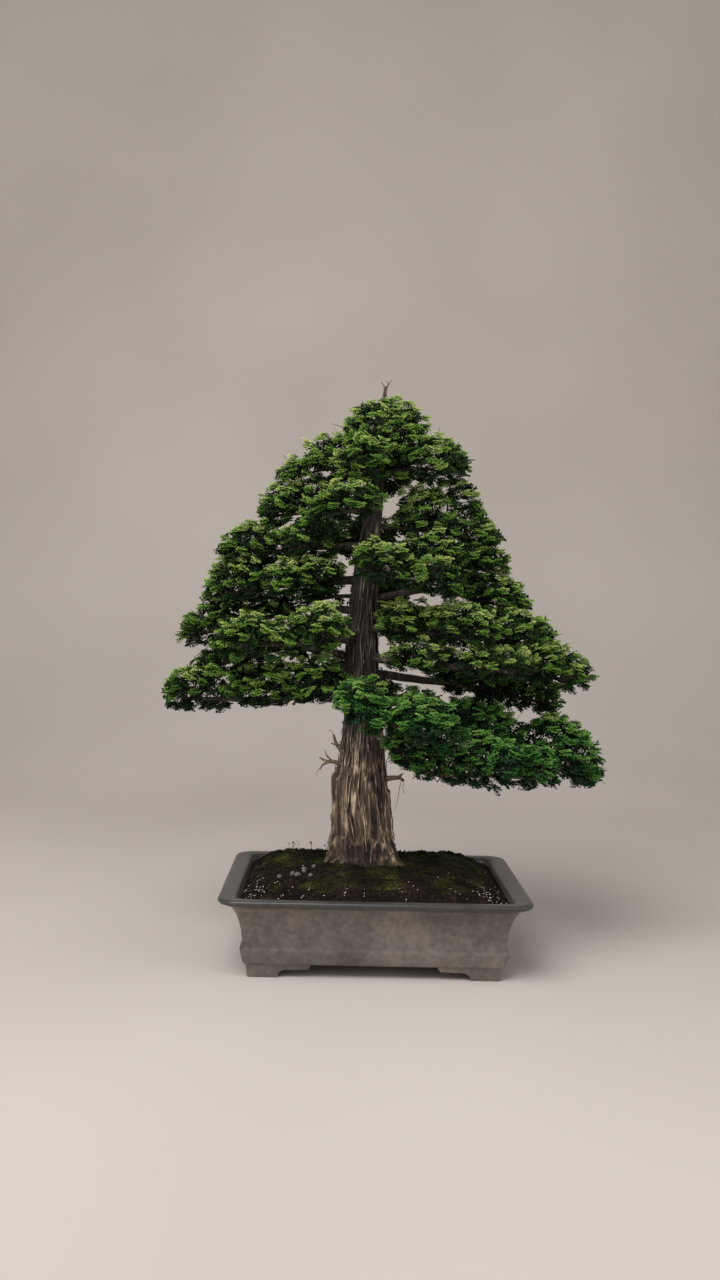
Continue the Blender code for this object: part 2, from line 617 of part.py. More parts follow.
def make_branches(bench, bark, green, trunk_room):
    """Each branch grows out of the trunk and carries its mass of foliage on its upper side."""
    for number, (name, thick, thin, corners, branch_clouds) in enumerate(BRANCHES):
        route = smooth_route([Vector(corner) * MM for corner in corners])
        radii = (thick * MM, thin * MM)
        branch = bench.piece(f"branch_{name}", tube_mesh(route, *radii, f"branch_{name}"), bark)
        bench.boolean(branch, trunk_room)
        clouds = [seated_dome(cloud, route, radii, 1.7 * number + 2.3 * place)
                  for place, cloud in enumerate(branch_clouds)]
        make_foliage(bench, name, clouds, green, trunk_room)


def make_crown(bench, green, trunk_room):
    """The crown's foliage sits on the leader's shoots and closes over its top."""
    clouds = [apex_dome()]
    for number, (thick, thin, corners, shoot_clouds) in enumerate(CROWN_SHOOTS):
        route = smooth_route([Vector(corner) * MM for corner in corners])
        for cloud in shoot_clouds:
            clouds.append(seated_dome(cloud, route, (thick * MM, thin * MM), 0.9 * number))
    make_foliage(bench, "crown", clouds, green, trunk_room)


def main():
    clear_scene()
    bench = Bench()
    stoneware = material("grey_brown_stoneware", (0.11, 0.098, 0.09), 0.55)
    bark = material("cypress_bark", (0.12, 0.075, 0.05), 0.9)
    green = material("cypress_scale_leaves", (0.04, 0.13, 0.02), 0.6)
    moss_green = material("cushion_moss", (0.05, 0.07, 0.015), 0.95)
    earth = material("dark_soil", (0.02, 0.014, 0.01), 0.95)
    grit_stone = material("lava_grit", (0.09, 0.05, 0.04), 0.95)
    plastic = material("black_plastic_mesh", (0.02, 0.02, 0.02), 0.5)
    aluminium = material("brown_anodised_wire", (0.2, 0.12, 0.08), 0.4, 1.0)

    make_pot(bench, stoneware)
    trunk_room = make_trunk(bench, bark)
    make_screens(bench, plastic, aluminium)
    bench.piece("tie_wire", tube_mesh(tie_route(), TIE_WIRE, TIE_WIRE, "tie_wire"), aluminium)
    room = tube_mesh(tie_route(GAP), TIE_WIRE + GAP, TIE_WIRE + GAP, "wire_room")
    wire_room = bench.cutter("wire_room", room)
    make_bed(bench, grit_stone, earth, moss_green, trunk_room, wire_room)
    make_branches(bench, bark, green, trunk_room)
    make_crown(bench, green, trunk_room)


main()
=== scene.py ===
"""A Hinoki cypress bonsai, formal upright, in a rectangular stoneware pot: what shows of each piece."""
import json
import math

import bmesh
import bpy
import numpy as np
from mathutils import Matrix, Vector, noise

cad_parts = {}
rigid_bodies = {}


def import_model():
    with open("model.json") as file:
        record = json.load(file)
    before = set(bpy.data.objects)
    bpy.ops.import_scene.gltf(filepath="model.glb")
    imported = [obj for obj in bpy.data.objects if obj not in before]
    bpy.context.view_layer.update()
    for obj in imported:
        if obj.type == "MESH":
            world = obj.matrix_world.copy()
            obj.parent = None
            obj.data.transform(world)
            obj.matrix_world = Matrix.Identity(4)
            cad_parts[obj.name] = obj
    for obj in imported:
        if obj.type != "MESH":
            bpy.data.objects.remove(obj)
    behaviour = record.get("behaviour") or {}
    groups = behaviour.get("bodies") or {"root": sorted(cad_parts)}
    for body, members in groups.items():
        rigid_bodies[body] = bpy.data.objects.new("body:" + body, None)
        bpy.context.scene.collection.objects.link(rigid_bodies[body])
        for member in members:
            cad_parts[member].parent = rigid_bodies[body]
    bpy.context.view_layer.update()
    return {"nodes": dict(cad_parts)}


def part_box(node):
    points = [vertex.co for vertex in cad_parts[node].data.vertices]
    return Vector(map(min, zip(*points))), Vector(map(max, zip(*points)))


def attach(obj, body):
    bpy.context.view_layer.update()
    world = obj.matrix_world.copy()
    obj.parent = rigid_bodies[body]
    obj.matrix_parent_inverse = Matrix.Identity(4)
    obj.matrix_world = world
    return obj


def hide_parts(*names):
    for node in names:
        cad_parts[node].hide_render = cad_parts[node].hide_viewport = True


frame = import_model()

# ======================================================================== the pot
# One piece of unglazed stoneware, press-moulded in a plaster form and fired dark in a reducing kiln:
# a rolled lip, walls that sweep in to a raised band, and four bracket feet. The clay is fine and
# slightly burnished, so it takes a soft wide sheen and shows warm and slate-grey clouds from the fire.
MM = 0.001
PLANT_SHIFT = Vector((-0.0127, -0.03514, 0.0))  # the pot's middle in the frame
RIM_HALF_WIDTH = 0.2362
RIM_HALF_DEPTH = 0.1730
FRONT_INSET_SHARE = 0.85
CORNER_STEPS = 9
SIDE_STEPS = 10
# height, inset from the rim's edge, corner radius
POT_OUTSIDE = [
    (0.0000, 0.0450, 0.004), (0.0200, 0.0425, 0.004), (0.0212, 0.0395, 0.006), (0.0236, 0.0380, 0.007),
    (0.0300, 0.0362, 0.009), (0.0410, 0.0335, 0.010), (0.0434, 0.0333, 0.010), (0.0449, 0.0340, 0.010),
    (0.0456, 0.0366, 0.009), (0.0480, 0.0372, 0.009), (0.0560, 0.0368, 0.009), (0.0660, 0.0356, 0.009),
    (0.0760, 0.0338, 0.010), (0.0860, 0.0313, 0.011), (0.0950, 0.0278, 0.013), (0.1020, 0.0240, 0.015),
    (0.1070, 0.0200, 0.018), (0.1105, 0.0158, 0.020), (0.1128, 0.0108, 0.023), (0.1142, 0.0060, 0.026),
    (0.1158, 0.0022, 0.029), (0.1180, 0.0004, 0.030), (0.1204, 0.0002, 0.030), (0.1224, 0.0014, 0.029),
    (0.1234, 0.0038, 0.027), (0.1236, 0.0070, 0.026),
]
# from the lip's inner edge down to the floor
POT_INSIDE = [
    (0.1230, 0.0200, 0.019), (0.1222, 0.0235, 0.018), (0.1200, 0.0262, 0.018), (0.1150, 0.0290, 0.018),
    (0.1060, 0.0340, 0.016), (0.0860, 0.0418, 0.013), (0.0620, 0.0462, 0.011), (0.0310, 0.0490, 0.010),
]
FOOT_HEIGHT = 0.0205
UNDERSIDE_HEIGHT = 0.0215
FOOT_WALL = 0.020
DRAIN_HOLE = (0.075, 0.012)
WIRE_HOLE = (0.125, 0.003)


def linear(code):
    """A Blender colour from an sRGB hex code."""
    parts = [int(code[i:i + 2], 16) / 255 for i in (1, 3, 5)]
    return (*[c / 12.92 if c <= 0.04045 else ((c + 0.055) / 1.055) ** 2.4 for c in parts], 1.0)


def add(mat, kind, inputs=None, stops=None, **settings):
    """A node with its settings, its colour stops, and a value or a link for each named input."""
    made = mat.node_tree.nodes.new(kind)
    for key, value in settings.items():
        setattr(made, key, value)
    for number, (place, code) in enumerate(stops or []):
        elements = made.color_ramp.elements
        stop = elements[number] if number < 2 else elements.new(place)
        stop.position, stop.color = place, linear(code)
    for key, value in (inputs or {}).items():
        if isinstance(value, bpy.types.NodeSocket):
            mat.node_tree.links.new(value, made.inputs[key])
        else:
            made.inputs[key].default_value = value
    return made


def surface(name):
    mat = bpy.data.materials.new(name)
    mat.use_nodes = True
    return mat


def finish(mat, inputs):
    """Set or link the named inputs of a material's shader."""
    shader = mat.node_tree.nodes["Principled BSDF"]
    for key, value in inputs.items():
        if isinstance(value, bpy.types.NodeSocket):
            mat.node_tree.links.new(value, shader.inputs[key])
        else:
            shader.inputs[key].default_value = value


def piece(name, mesh, mat, replaces=(), smooth=True):
    """A shown piece of the plant, riding on its one body."""
    made = bpy.data.objects.new(name, mesh)
    bpy.context.scene.collection.objects.link(made)
    mesh.materials.clear()
    mesh.materials.append(mat)
    if smooth:
        mesh.shade_smooth()
    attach(made, "root")
    if replaces:
        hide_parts(*replaces)
    return made


def pot_ring(height, inset, radius, grow=0.0):
    """Points round a level rectangle with round corners."""
    half_width = RIM_HALF_WIDTH - inset + grow
    half_depth = RIM_HALF_DEPTH - FRONT_INSET_SHARE * inset + grow
    corners = []
    for corner, (side_x, side_y) in enumerate([(1, 1), (-1, 1), (-1, -1), (1, -1)]):
        turns = [math.pi / 2 * (corner + step / CORNER_STEPS) for step in range(CORNER_STEPS + 1)]
        corners.append([Vector((side_x * (half_width - radius) + radius * math.cos(turn),
                                side_y * (half_depth - radius) + radius * math.sin(turn), height))
                        for turn in turns])
    ring = []
    for corner, following in zip(corners, corners[1:] + corners[:1]):
        ring += corner
        ring += [corner[-1].lerp(following[0], step / (SIDE_STEPS + 1)) for step in range(1, SIDE_STEPS + 1)]
    return [point + PLANT_SHIFT for point in ring]


def loft(rings, name):
    """A closed solid through rings of equally many points."""
    bm = bmesh.new()
    rows = [[bm.verts.new(point) for point in ring] for ring in rings]
    for low, high in zip(rows, rows[1:]):
        for i in range(len(low)):
            j = (i + 1) % len(low)
            bm.faces.new((low[i], low[j], high[j], high[i]))
    bm.faces.new(rows[0])
    bm.faces.new(rows[-1])
    bmesh.ops.recalc_face_normals(bm, faces=bm.faces)
    mesh = bpy.data.meshes.new(name)
    bm.to_mesh(mesh)
    bm.free()
    return mesh


def applied(obj, name):
    """The object's mesh with its modifiers applied; the object is removed."""
    bpy.context.view_layer.update()
    mesh = bpy.data.meshes.new_from_object(obj.evaluated_get(bpy.context.evaluated_depsgraph_get()))
    mesh.name = name
    bpy.data.objects.remove(obj)
    return mesh


def loose(name, mesh):
    made = bpy.data.objects.new(name, mesh)
    bpy.context.scene.collection.objects.link(made)
    return made


# half of the opening between two feet: share of the half wall, height; the feet's inner ends are
# stepped and their soles end in a quarter round
FOOT_CUT = [(0.490, FOOT_HEIGHT), (0.497, 0.0170), (0.508, 0.0140), (0.522, 0.0128), (0.690, 0.0119)]
FOOT_CUT += [(0.690 + 0.060 * math.sin(t), 0.0119 * math.cos(t)) for t in np.linspace(0.2, math.pi / 2, 7)]


def prism(outline, along_x, reach):
    """An outline of (across, height) points pushed right through the pot."""
    rings = []
    for side in (-reach, reach):
        places = [(side, a, h) if along_x else (a, side, h) for a, h in outline]
        rings.append([Vector(place) + PLANT_SHIFT for place in places])
    return loft(rings, "prism")


clay = surface("fired_stoneware")
place = add(clay, "ShaderNodeTexCoord").outputs["Object"]
height = add(clay, "ShaderNodeSeparateXYZ", {0: place}).outputs["Z"]
# kiln clouds 70 mm wide, finer mottling of 9 mm, and the clay's 0.6 mm grain drawn at 1.2 mm to show
cloud = add(clay, "ShaderNodeTexNoise", {"Vector": place, "Scale": 13.0, "Detail": 3.0})
mottle = add(clay, "ShaderNodeTexNoise", {"Vector": place, "Scale": 110.0, "Detail": 4.0})
grain = add(clay, "ShaderNodeTexNoise", {"Vector": place, "Scale": 850.0, "Detail": 2.0})
fired = add(clay, "ShaderNodeValToRGB", {"Fac": cloud.outputs["Fac"]},
            stops=[(0.32, "#5c5651"), (0.68, "#857c74"), (0.50, "#706a64")])
fleck = add(clay, "ShaderNodeValToRGB", {"Fac": mottle.outputs["Fac"]},
            stops=[(0.35, "#d6d2cd"), (0.68, "#ffffff")])
flecked = add(clay, "ShaderNodeMix", {0: 0.9, 6: fired.outputs["Color"], 7: fleck.outputs["Color"]},
              data_type="RGBA", blend_type="MULTIPLY")
# the lip and inner walls caught less ash and stay slate-grey; their darkness is also painted shade inside the rim
rim_slate_and_shade = add(clay, "ShaderNodeMapRange", {"Value": height, "From Min": 0.108, "From Max": 0.117})
rim_slate_and_shade_colour = add(clay, "ShaderNodeMix", {0: 1.0, 6: linear("#434441"), 7: fleck.outputs["Color"]},
             data_type="RGBA", blend_type="MULTIPLY")
clay_with_rim_shade = add(clay, "ShaderNodeMix", {0: rim_slate_and_shade.outputs["Result"], 6: flecked.outputs[2], 7: rim_slate_and_shade_colour.outputs[2]},
             data_type="RGBA")
# handling has polished the lip
sheen_wear = add(clay, "ShaderNodeMapRange", {"Value": rim_slate_and_shade.outputs["Result"], "To Min": 0.50, "To Max": 0.33})
tooth = add(clay, "ShaderNodeBump", {"Height": grain.outputs["Fac"], "Strength": 0.25, "Distance": 0.0003})
finish(clay, {"Base Color": clay_with_rim_shade.outputs[2], "Roughness": sheen_wear.outputs["Result"],
              "Normal": tooth.outputs["Normal"], "Specular IOR Level": 0.45})

walls = loose("pot_blank", loft([pot_ring(*row) for row in POT_OUTSIDE + POT_INSIDE], "pot_blank"))
foot_x = RIM_HALF_WIDTH - POT_OUTSIDE[1][1]
foot_y = RIM_HALF_DEPTH - FRONT_INSET_SHARE * POT_OUTSIDE[1][1]
cutters = []
for half_wall, along_x, reach in ((foot_x, False, 0.25), (foot_y, True, 0.30)):
    half = [(share * half_wall, level) for share, level in FOOT_CUT] + [(0.75 * half_wall, -0.01)]
    cutters.append(prism(half + [(-across, level) for across, level in reversed(half)], along_x, reach))
recess = [(across, level) for across, level in ((foot_x - FOOT_WALL, -0.01), (foot_x - FOOT_WALL, UNDERSIDE_HEIGHT))]
recess += [(-across, level) for across, level in reversed(recess)]
cutters.append(prism(recess, False, foot_y - FOOT_WALL))
for distance, radius in (DRAIN_HOLE, WIRE_HOLE):
    for side in (-1, 1):
        middle = PLANT_SHIFT + Vector((side * distance, 0, 0))
        turns = np.linspace(0, 2 * math.pi, 33)[:-1]
        circle = [Vector((radius * math.cos(t), radius * math.sin(t), 0)) for t in turns]
        cutters.append(loft([[middle + p + Vector((0, 0, level)) for p in circle] for level in (0.012, 0.040)],
                            "hole"))
for number, mesh in enumerate(cutters):
    cutter = loose(f"pot_cutter_{number}", mesh)
    cut = walls.modifiers.new(cutter.name, "BOOLEAN")
    cut.object, cut.solver = cutter, "EXACT"
softened = walls.modifiers.new("softened_edges", "BEVEL")
softened.width, softened.segments, softened.limit_method = 0.0009, 2, "ANGLE"
softened.angle_limit = math.radians(38)
pot_mesh = applied(walls, "pot")
for cutter in [obj for obj in bpy.data.objects if obj.name.startswith("pot_cutter_")]:
    bpy.data.objects.remove(cutter)
pot_mesh.shade_smooth()
pot_mesh.set_sharp_from_angle(angle=math.radians(48))
piece("stoneware_pot", pot_mesh, clay, ["pot"], smooth=False)

# ======================================================================== screens, wire and grit
# Two squares of black polythene mesh lie over the drain holes, each held by a staple of brown
# anodised aluminium wire, and a longer wire under the pot ties the root ball down. Coarse red-brown
# lava grit covers the floor. They are hidden except from below.
polythene = surface("black_polythene_mesh")
place = add(polythene, "ShaderNodeTexCoord").outputs["Object"]
dust = add(polythene, "ShaderNodeTexNoise", {"Vector": place, "Scale": 400.0, "Detail": 3.0})
tone = add(polythene, "ShaderNodeValToRGB", {"Fac": dust.outputs["Fac"]}, stops=[(0.4, "#141414"), (0.8, "#3a342c")])
finish(polythene, {"Base Color": tone.outputs["Color"], "Roughness": 0.5, "IOR": 1.5})

anodised = surface("brown_anodised_aluminium")
place = add(anodised, "ShaderNodeTexCoord").outputs["Object"]
drawn = add(anodised, "ShaderNodeTexNoise", {"Vector": place, "Scale": 600.0, "Detail": 2.0})
tone = add(anodised, "ShaderNodeValToRGB", {"Fac": drawn.outputs["Fac"]}, stops=[(0.3, "#5a4130"), (0.7, "#7a5a42")])
finish(anodised, {"Base Color": tone.outputs["Color"], "Metallic": 1.0, "Roughness": 0.38})

lava = surface("crushed_lava_grit")
place = add(lava, "ShaderNodeTexCoord").outputs["Object"]
# stones of 5 mm
stones = add(lava, "ShaderNodeTexVoronoi", {"Vector": place, "Scale": 200.0})
# each stone is darker towards its edge: painted shade in the gaps between the stones
tone = add(lava, "ShaderNodeValToRGB", {"Fac": stones.outputs["Distance"]}, stops=[(0.2, "#5b4038"), (0.8, "#1d1512")])
relief = add(lava, "ShaderNodeBump", {"Height": stones.outputs["Distance"], "Strength": 0.8, "Distance": 0.001})
relief.invert = True
finish(lava, {"Base Color": tone.outputs["Color"], "Roughness": 0.95, "Normal": relief.outputs["Normal"]})

for node_name, mat in (("drain_screen_left", polythene), ("drain_screen_right", polythene),
                       ("screen_clip_left", anodised), ("screen_clip_right", anodised),
                       ("tie_wire", anodised), ("drainage_grit", lava)):
    mesh = frame["nodes"][node_name].data
    mesh.materials.clear()
    mesh.materials.append(mat)

# ======================================================================== the soil
# Fired clay granules and fine bark, kept damp, so nearly black. They are mounded up to the trunk,
# and the loose grains on top are separate. A few white pumice grains and grey fertiliser pellets
# lie among them.
TRUNK_FOOT = Vector((-0.018, 0.032, 0.0)) + PLANT_SHIFT
SOIL_EDGE_HEIGHT = 0.1120
SOIL_MOUND = 0.0300
SOIL_AT_TRUNK = 0.0050
SOIL_SHRINK = 0.88
SOIL_ROWS = 34


def wall_inset(height):
    """The inset and corner radius of the pot's inner wall at a height."""
    rows = POT_INSIDE[::-1]
    for (z0, i0, r0), (z1, i1, r1) in zip(rows, rows[1:]):
        if height <= z1:
            share = (height - z0) / (z1 - z0)
            return i0 + (i1 - i0) * share, r0 + (r1 - r0) * share
    return rows[-1][1:]


def fractal(point, size, octaves=4):
    """Smooth noise from about -1 to 1 whose largest features are size metres wide."""
    return noise.fractal(point / size, 1.0, 2.0, octaves, noise_basis="PERLIN_ORIGINAL")


def soil_height(share):
    return SOIL_EDGE_HEIGHT + SOIL_MOUND * (1 - share ** 4) + SOIL_AT_TRUNK * (1 - share) ** 2


soil_edge = pot_ring(SOIL_EDGE_HEIGHT, *wall_inset(SOIL_EDGE_HEIGHT), grow=-0.0004)


def bed_point(i, share, lift=0.0):
    """A point of the soil's surface: the i-th way from the trunk, and how far out to the wall."""
    point = TRUNK_FOOT.lerp(soil_edge[i % len(soil_edge)], share)
    point.z = soil_height(share)
    rough = 0.0016 * fractal(point, 0.030) + 0.0011 * fractal(point, 0.007, 3)
    point.z += rough * min(1.0, 8 * (1 - share)) + lift
    return point


rings = [pot_ring(level, *wall_inset(level), grow=-0.0004) for level in (0.0454, 0.062, 0.086, 0.106)]
for row in range(SOIL_ROWS):
    share = 1 - SOIL_SHRINK * row / (SOIL_ROWS - 1)
    rings.append([bed_point(i, share) for i in range(len(soil_edge))])
soil_mesh = loft(rings, "soil")

earth = surface("damp_akadama_and_bark")
place = add(earth, "ShaderNodeTexCoord").outputs["Object"]
# granules of 3 mm and damp patches of 40 mm
granules = add(earth, "ShaderNodeTexVoronoi", {"Vector": place, "Scale": 330.0})
damp = add(earth, "ShaderNodeTexNoise", {"Vector": place, "Scale": 25.0, "Detail": 4.0})
mixed = add(earth, "ShaderNodeMath", {0: granules.outputs["Color"], 1: damp.outputs["Fac"]}, operation="MULTIPLY")
tone = add(earth, "ShaderNodeValToRGB", {"Fac": mixed.outputs["Value"]},
           stops=[(0.08, "#0b0806"), (0.62, "#3a2c21"), (0.30, "#1b1410")])
relief = add(earth, "ShaderNodeBump", {"Height": granules.outputs["Distance"], "Strength": 0.7, "Distance": 0.0012},
             invert=True)
finish(earth, {"Base Color": tone.outputs["Color"], "Roughness": 0.95, "Normal": relief.outputs["Normal"],
               "Specular IOR Level": 0.12})
piece("potting_soil", soil_mesh, earth, ["soil"])

# A grain is a rough lump with 12 corners; every grain is a closed solid of its own.
seed_bm = bmesh.new()
bmesh.ops.create_icosphere(seed_bm, subdivisions=1, radius=1.0)
GRAIN_CORNERS = np.array([v.co for v in seed_bm.verts])
GRAIN_FACES = np.array([[v.index for v in f.verts] for f in seed_bm.faces])
seed_bm.free()


def triangle_mesh(name, corners, faces, maps=None):
    """A mesh from arrays of corners and triangles, and a map of one place for each corner."""
    mesh = bpy.data.meshes.new(name)
    mesh.vertices.add(len(corners))
    mesh.vertices.foreach_set("co", np.asarray(corners, np.float32).ravel())
    mesh.loops.add(faces.size)
    mesh.loops.foreach_set("vertex_index", faces.ravel().astype(np.int32))
    mesh.polygons.add(len(faces))
    mesh.polygons.foreach_set("loop_start", np.arange(0, faces.size, 3, dtype=np.int32))
    for map_name in ("palette", "OFBake") if maps is not None else ():
        layer = mesh.uv_layers.new(name=map_name)
        layer.data.foreach_set("uv", np.asarray(maps, np.float32)[faces.ravel()].ravel())
    mesh.update(calc_edges=True)
    mesh.validate()
    return mesh


def grains(name, places, sizes, rng, roughness=0.22, flat=0.8):
    """Lumps of the given sizes at the given places, each turned and knocked about."""
    corners, faces = [], []
    for number, (spot, size) in enumerate(zip(places, sizes)):
        turn = np.linalg.qr(rng.normal(size=(3, 3)))[0]
        turn *= np.sign(np.linalg.det(turn))
        lump = GRAIN_CORNERS * (1 + roughness * rng.normal(size=(len(GRAIN_CORNERS), 1)))
        lump = lump * (1.0, 0.85, 0.75) @ turn
        corners.append(np.asarray(spot) + lump * size / 2 * (1, 1, flat))
        faces.append(GRAIN_FACES + number * len(GRAIN_CORNERS))
    return triangle_mesh(name, np.concatenate(corners), np.concatenate(faces))


def scattered(rng, count, accept=lambda point, share: True, low=0.30, high=0.985, lift=lambda point, share: 0.0):
    """Places on the soil, evenly spread, where accept(point, share) holds, raised by lift(point, share)."""
    found = []
    while len(found) < count:
        share = math.sqrt(rng.uniform(low ** 2, high ** 2))
        point = bed_point(int(rng.integers(len(soil_edge))), share)
        if accept(point, share):
            found.append(point + Vector((0, 0, lift(point, share))))
    return found


rng = np.random.default_rng(11)
spots = scattered(rng, 3400)
grain_mesh = grains("soil_grains", spots, rng.uniform(0.0018, 0.0046, len(spots)), rng)
piece("loose_soil_grains", grain_mesh, earth, smooth=False)

pumice = surface("white_pumice")
place = add(pumice, "ShaderNodeTexCoord").outputs["Object"]
pores = add(pumice, "ShaderNodeTexNoise", {"Vector": place, "Scale": 900.0, "Detail": 3.0})
tone = add(pumice, "ShaderNodeValToRGB", {"Fac": pores.outputs["Fac"]}, stops=[(0.35, "#8f887c"), (0.65, "#efe9dd")])
finish(pumice, {"Base Color": tone.outputs["Color"], "Roughness": 0.9})


def washed_forward(point, share):
    return share > 0.72 and point.y < TRUNK_FOOT.y - 0.05 or rng.random() < 0.06


spots = scattered(rng, 210, washed_forward)
grain_mesh = grains("pumice", [p + Vector((0, 0, 0.0006)) for p in spots], rng.uniform(0.0012, 0.0030, len(spots)), rng)
piece("pumice_grains", grain_mesh, pumice, smooth=False)

pressed = surface("pressed_fertiliser")
place = add(pressed, "ShaderNodeTexCoord").outputs["Object"]
meal = add(pressed, "ShaderNodeTexNoise", {"Vector": place, "Scale": 700.0, "Detail": 3.0})
tone = add(pressed, "ShaderNodeValToRGB", {"Fac": meal.outputs["Fac"]}, stops=[(0.35, "#3f3b3a"), (0.7, "#85807c")])
finish(pressed, {"Base Color": tone.outputs["Color"], "Roughness": 0.8})


def at_the_left(point, share):
    return abs(point.x + 0.125) < 0.040 and abs(point.y + 0.085) < 0.032


spots = scattered(rng, 9, at_the_left, 0.4, lift=lambda point, share: 0.0028)
grain_mesh = grains("pellets", spots, rng.uniform(0.0075, 0.0100, len(spots)), rng, 0.05, 1.0)
piece("fertiliser_pellets", grain_mesh, pressed)

# ======================================================================== the moss
# Short cushion moss that has spread over the soil in low mounds, olive where it is dry and fresh
# green behind the trunk, with a reddish-brown patch at the left and a few spore stalks.
MOSS_ROWS = 78


def moss_depth(point, share):
    """How thick the moss is here, in metres; below nothing it is bare soil."""
    cover = 0.34 * fractal(point, 0.050, 3) + 0.16 * fractal(point, 0.014, 2)
    cover += 0.15 + 0.8 * point.y - 1.9 * max(0.0, share - 0.80)
    bare = math.exp(-(((point.x + 0.110) / 0.060) ** 2 + ((point.y + 0.085) / 0.040) ** 2))
    cushions = 0.0016 * fractal(point, 0.007, 3)
    return 0.0060 * (cover - 0.40 * bare) / 0.5 + cushions


def moss_top(point, share):
    return max(0.0, min(0.0062, moss_depth(point, share))) - 0.0004


rings = []
for row in range(MOSS_ROWS):
    share = 0.97 - 0.80 * row / (MOSS_ROWS - 1)
    ring = []
    for i in range(len(soil_edge)):
        point = bed_point(i, share)
        point.z += max(-0.0035, min(0.0062, moss_depth(point, share)))
        ring.append(point)
    rings.append(ring)
rings.insert(0, [point - Vector((0, 0, 0.012)) for point in rings[0]])
rings.append([point - Vector((0, 0, 0.020)) for point in rings[-1]])
moss_mesh = loft(rings, "moss")

cushion = surface("cushion_moss")
place = add(cushion, "ShaderNodeTexCoord").outputs["Object"]
# colonies of 45 mm, and shoots of 2 mm
colony = add(cushion, "ShaderNodeTexNoise", {"Vector": place, "Scale": 22.0, "Detail": 4.0})
shoots = add(cushion, "ShaderNodeTexNoise", {"Vector": place, "Scale": 480.0, "Detail": 3.0})
both = add(cushion, "ShaderNodeMath", {0: colony.outputs["Fac"], 1: shoots.outputs["Fac"]}, operation="MULTIPLY")
tone = add(cushion, "ShaderNodeValToRGB", {"Fac": both.outputs["Value"]},
           stops=[(0.12, "#0b0906"), (0.44, "#54582a"), (0.23, "#1a170c"), (0.33, "#343417")])
relief = add(cushion, "ShaderNodeBump", {"Height": shoots.outputs["Fac"], "Strength": 0.8, "Distance": 0.0012})
finish(cushion, {"Base Color": tone.outputs["Color"], "Roughness": 0.95, "Specular IOR Level": 0.12,
                 "Normal": relief.outputs["Normal"]})
piece("moss_blanket", moss_mesh, cushion, ["moss"])

TUFT_CORNERS = np.array([(1, 0, 0), (0, 1, 0), (-1, 0, 0), (0, -1, 0), (0.2, 0.1, 3.2)], float)
TUFT_FACES = np.array([(0, 1, 4), (1, 2, 4), (2, 3, 4), (3, 0, 4), (1, 0, 2), (3, 2, 0)])
rng = np.random.default_rng(23)
spots = scattered(rng, 8000, lambda point, share: moss_depth(point, share) > 0.0004, 0.2, 0.94, moss_top)
corners, faces = [], []
for number, point in enumerate(spots):
    size = rng.uniform(0.0005, 0.0013)
    lean = rng.normal(scale=0.5, size=2)
    tuft = TUFT_CORNERS.copy()
    tuft[:, :2] += tuft[:, 2:] * lean / 3.2
    corners.append(np.asarray(point) + tuft * size)
    faces.append(TUFT_FACES + 5 * number)
piece("moss_shoots", triangle_mesh("moss_shoots", np.concatenate(corners), np.concatenate(faces)),
      cushion, smooth=False)

# crumbs of soil that watering has left on the moss
rng = np.random.default_rng(29)
spots = scattered(rng, 3000, low=0.25, high=0.95, lift=moss_top)
crumb_mesh = grains("crumbs", spots, rng.uniform(0.0014, 0.0036, len(spots)), rng)
piece("soil_crumbs_on_moss", crumb_mesh, earth, smooth=False)

# ======================================================================== the trunk
# Living cypress wood in its own bark: grey-brown to red-brown, fibrous, peeling in long vertical
# strips, with tan inner bark where a strip has come off, and near-black in the cracks, partly the
# bark's own colour and partly painted shade. Surface roots spread into the soil, with painted shade
# in the hollows between them. The dead stubs and the dry forked leader are bare grey wood.
TRUNK = np.array([
    (0.092, -0.018, 0.032, 0.060), (0.112, -0.018, 0.032, 0.073), (0.133, -0.018, 0.031, 0.068),
    (0.158, -0.018, 0.031, 0.056), (0.191, -0.019, 0.030, 0.0475), (0.241, -0.022, 0.029, 0.0445),
    (0.276, -0.024, 0.028, 0.0425), (0.307, -0.022, 0.028, 0.0365), (0.340, -0.022, 0.028, 0.0325),
    (0.372, -0.023, 0.029, 0.0295), (0.430, -0.026, 0.031, 0.0275), (0.490, -0.028, 0.032, 0.0255),
    (0.550, -0.026, 0.033, 0.0225), (0.606, -0.024, 0.033, 0.0210), (0.665, -0.019, 0.032, 0.0175),
    (0.730, -0.012, 0.031, 0.0135), (0.790, -0.007, 0.031, 0.0095), (0.845, -0.003, 0.030, 0.0062),
    (0.885, -0.002, 0.030, 0.0038), (0.905, -0.001, 0.030, 0.0026), (0.920, 0.001, 0.030, 0.0020)])
ROOTS = [(-0.50, 0.24), (0.95, 0.20), (2.25, 0.24), (3.20, 0.20), (3.78, 0.44), (5.55, 0.60)]
ROOT_WIDTH = 0.30
ROOT_HOLLOW = 0.24  # how far the foot draws in between two roots, as a share of its radius
ROOT_TOP = 0.240
TRUNK_ROWS = 520
TRUNK_SIDES = 168
# rough dark plates of old bark: direction, half width of the plate, lower end, upper end, thickness
BARK_PLATES = [(3.30, 0.55, 0.165, 0.287, 0.0038), (-0.15, 0.40, 0.185, 0.262, 0.0036),
               (2.70, 0.35, 0.300, 0.360, 0.0022), (0.35, 0.45, 0.300, 0.365, 0.0020)]


def smoothstep(low, high, value):
    t = min(1.0, max(0.0, (value - low) / (high - low)))
    return t * t * (3 - 2 * t)


def trunk_axis(height):
    """The middle of the trunk at a height, and its radius."""
    x, y, radius = (np.interp(height, TRUNK[:, 0], TRUNK[:, k]) for k in (1, 2, 3))
    return Vector((x, y, height)) + PLANT_SHIFT, radius


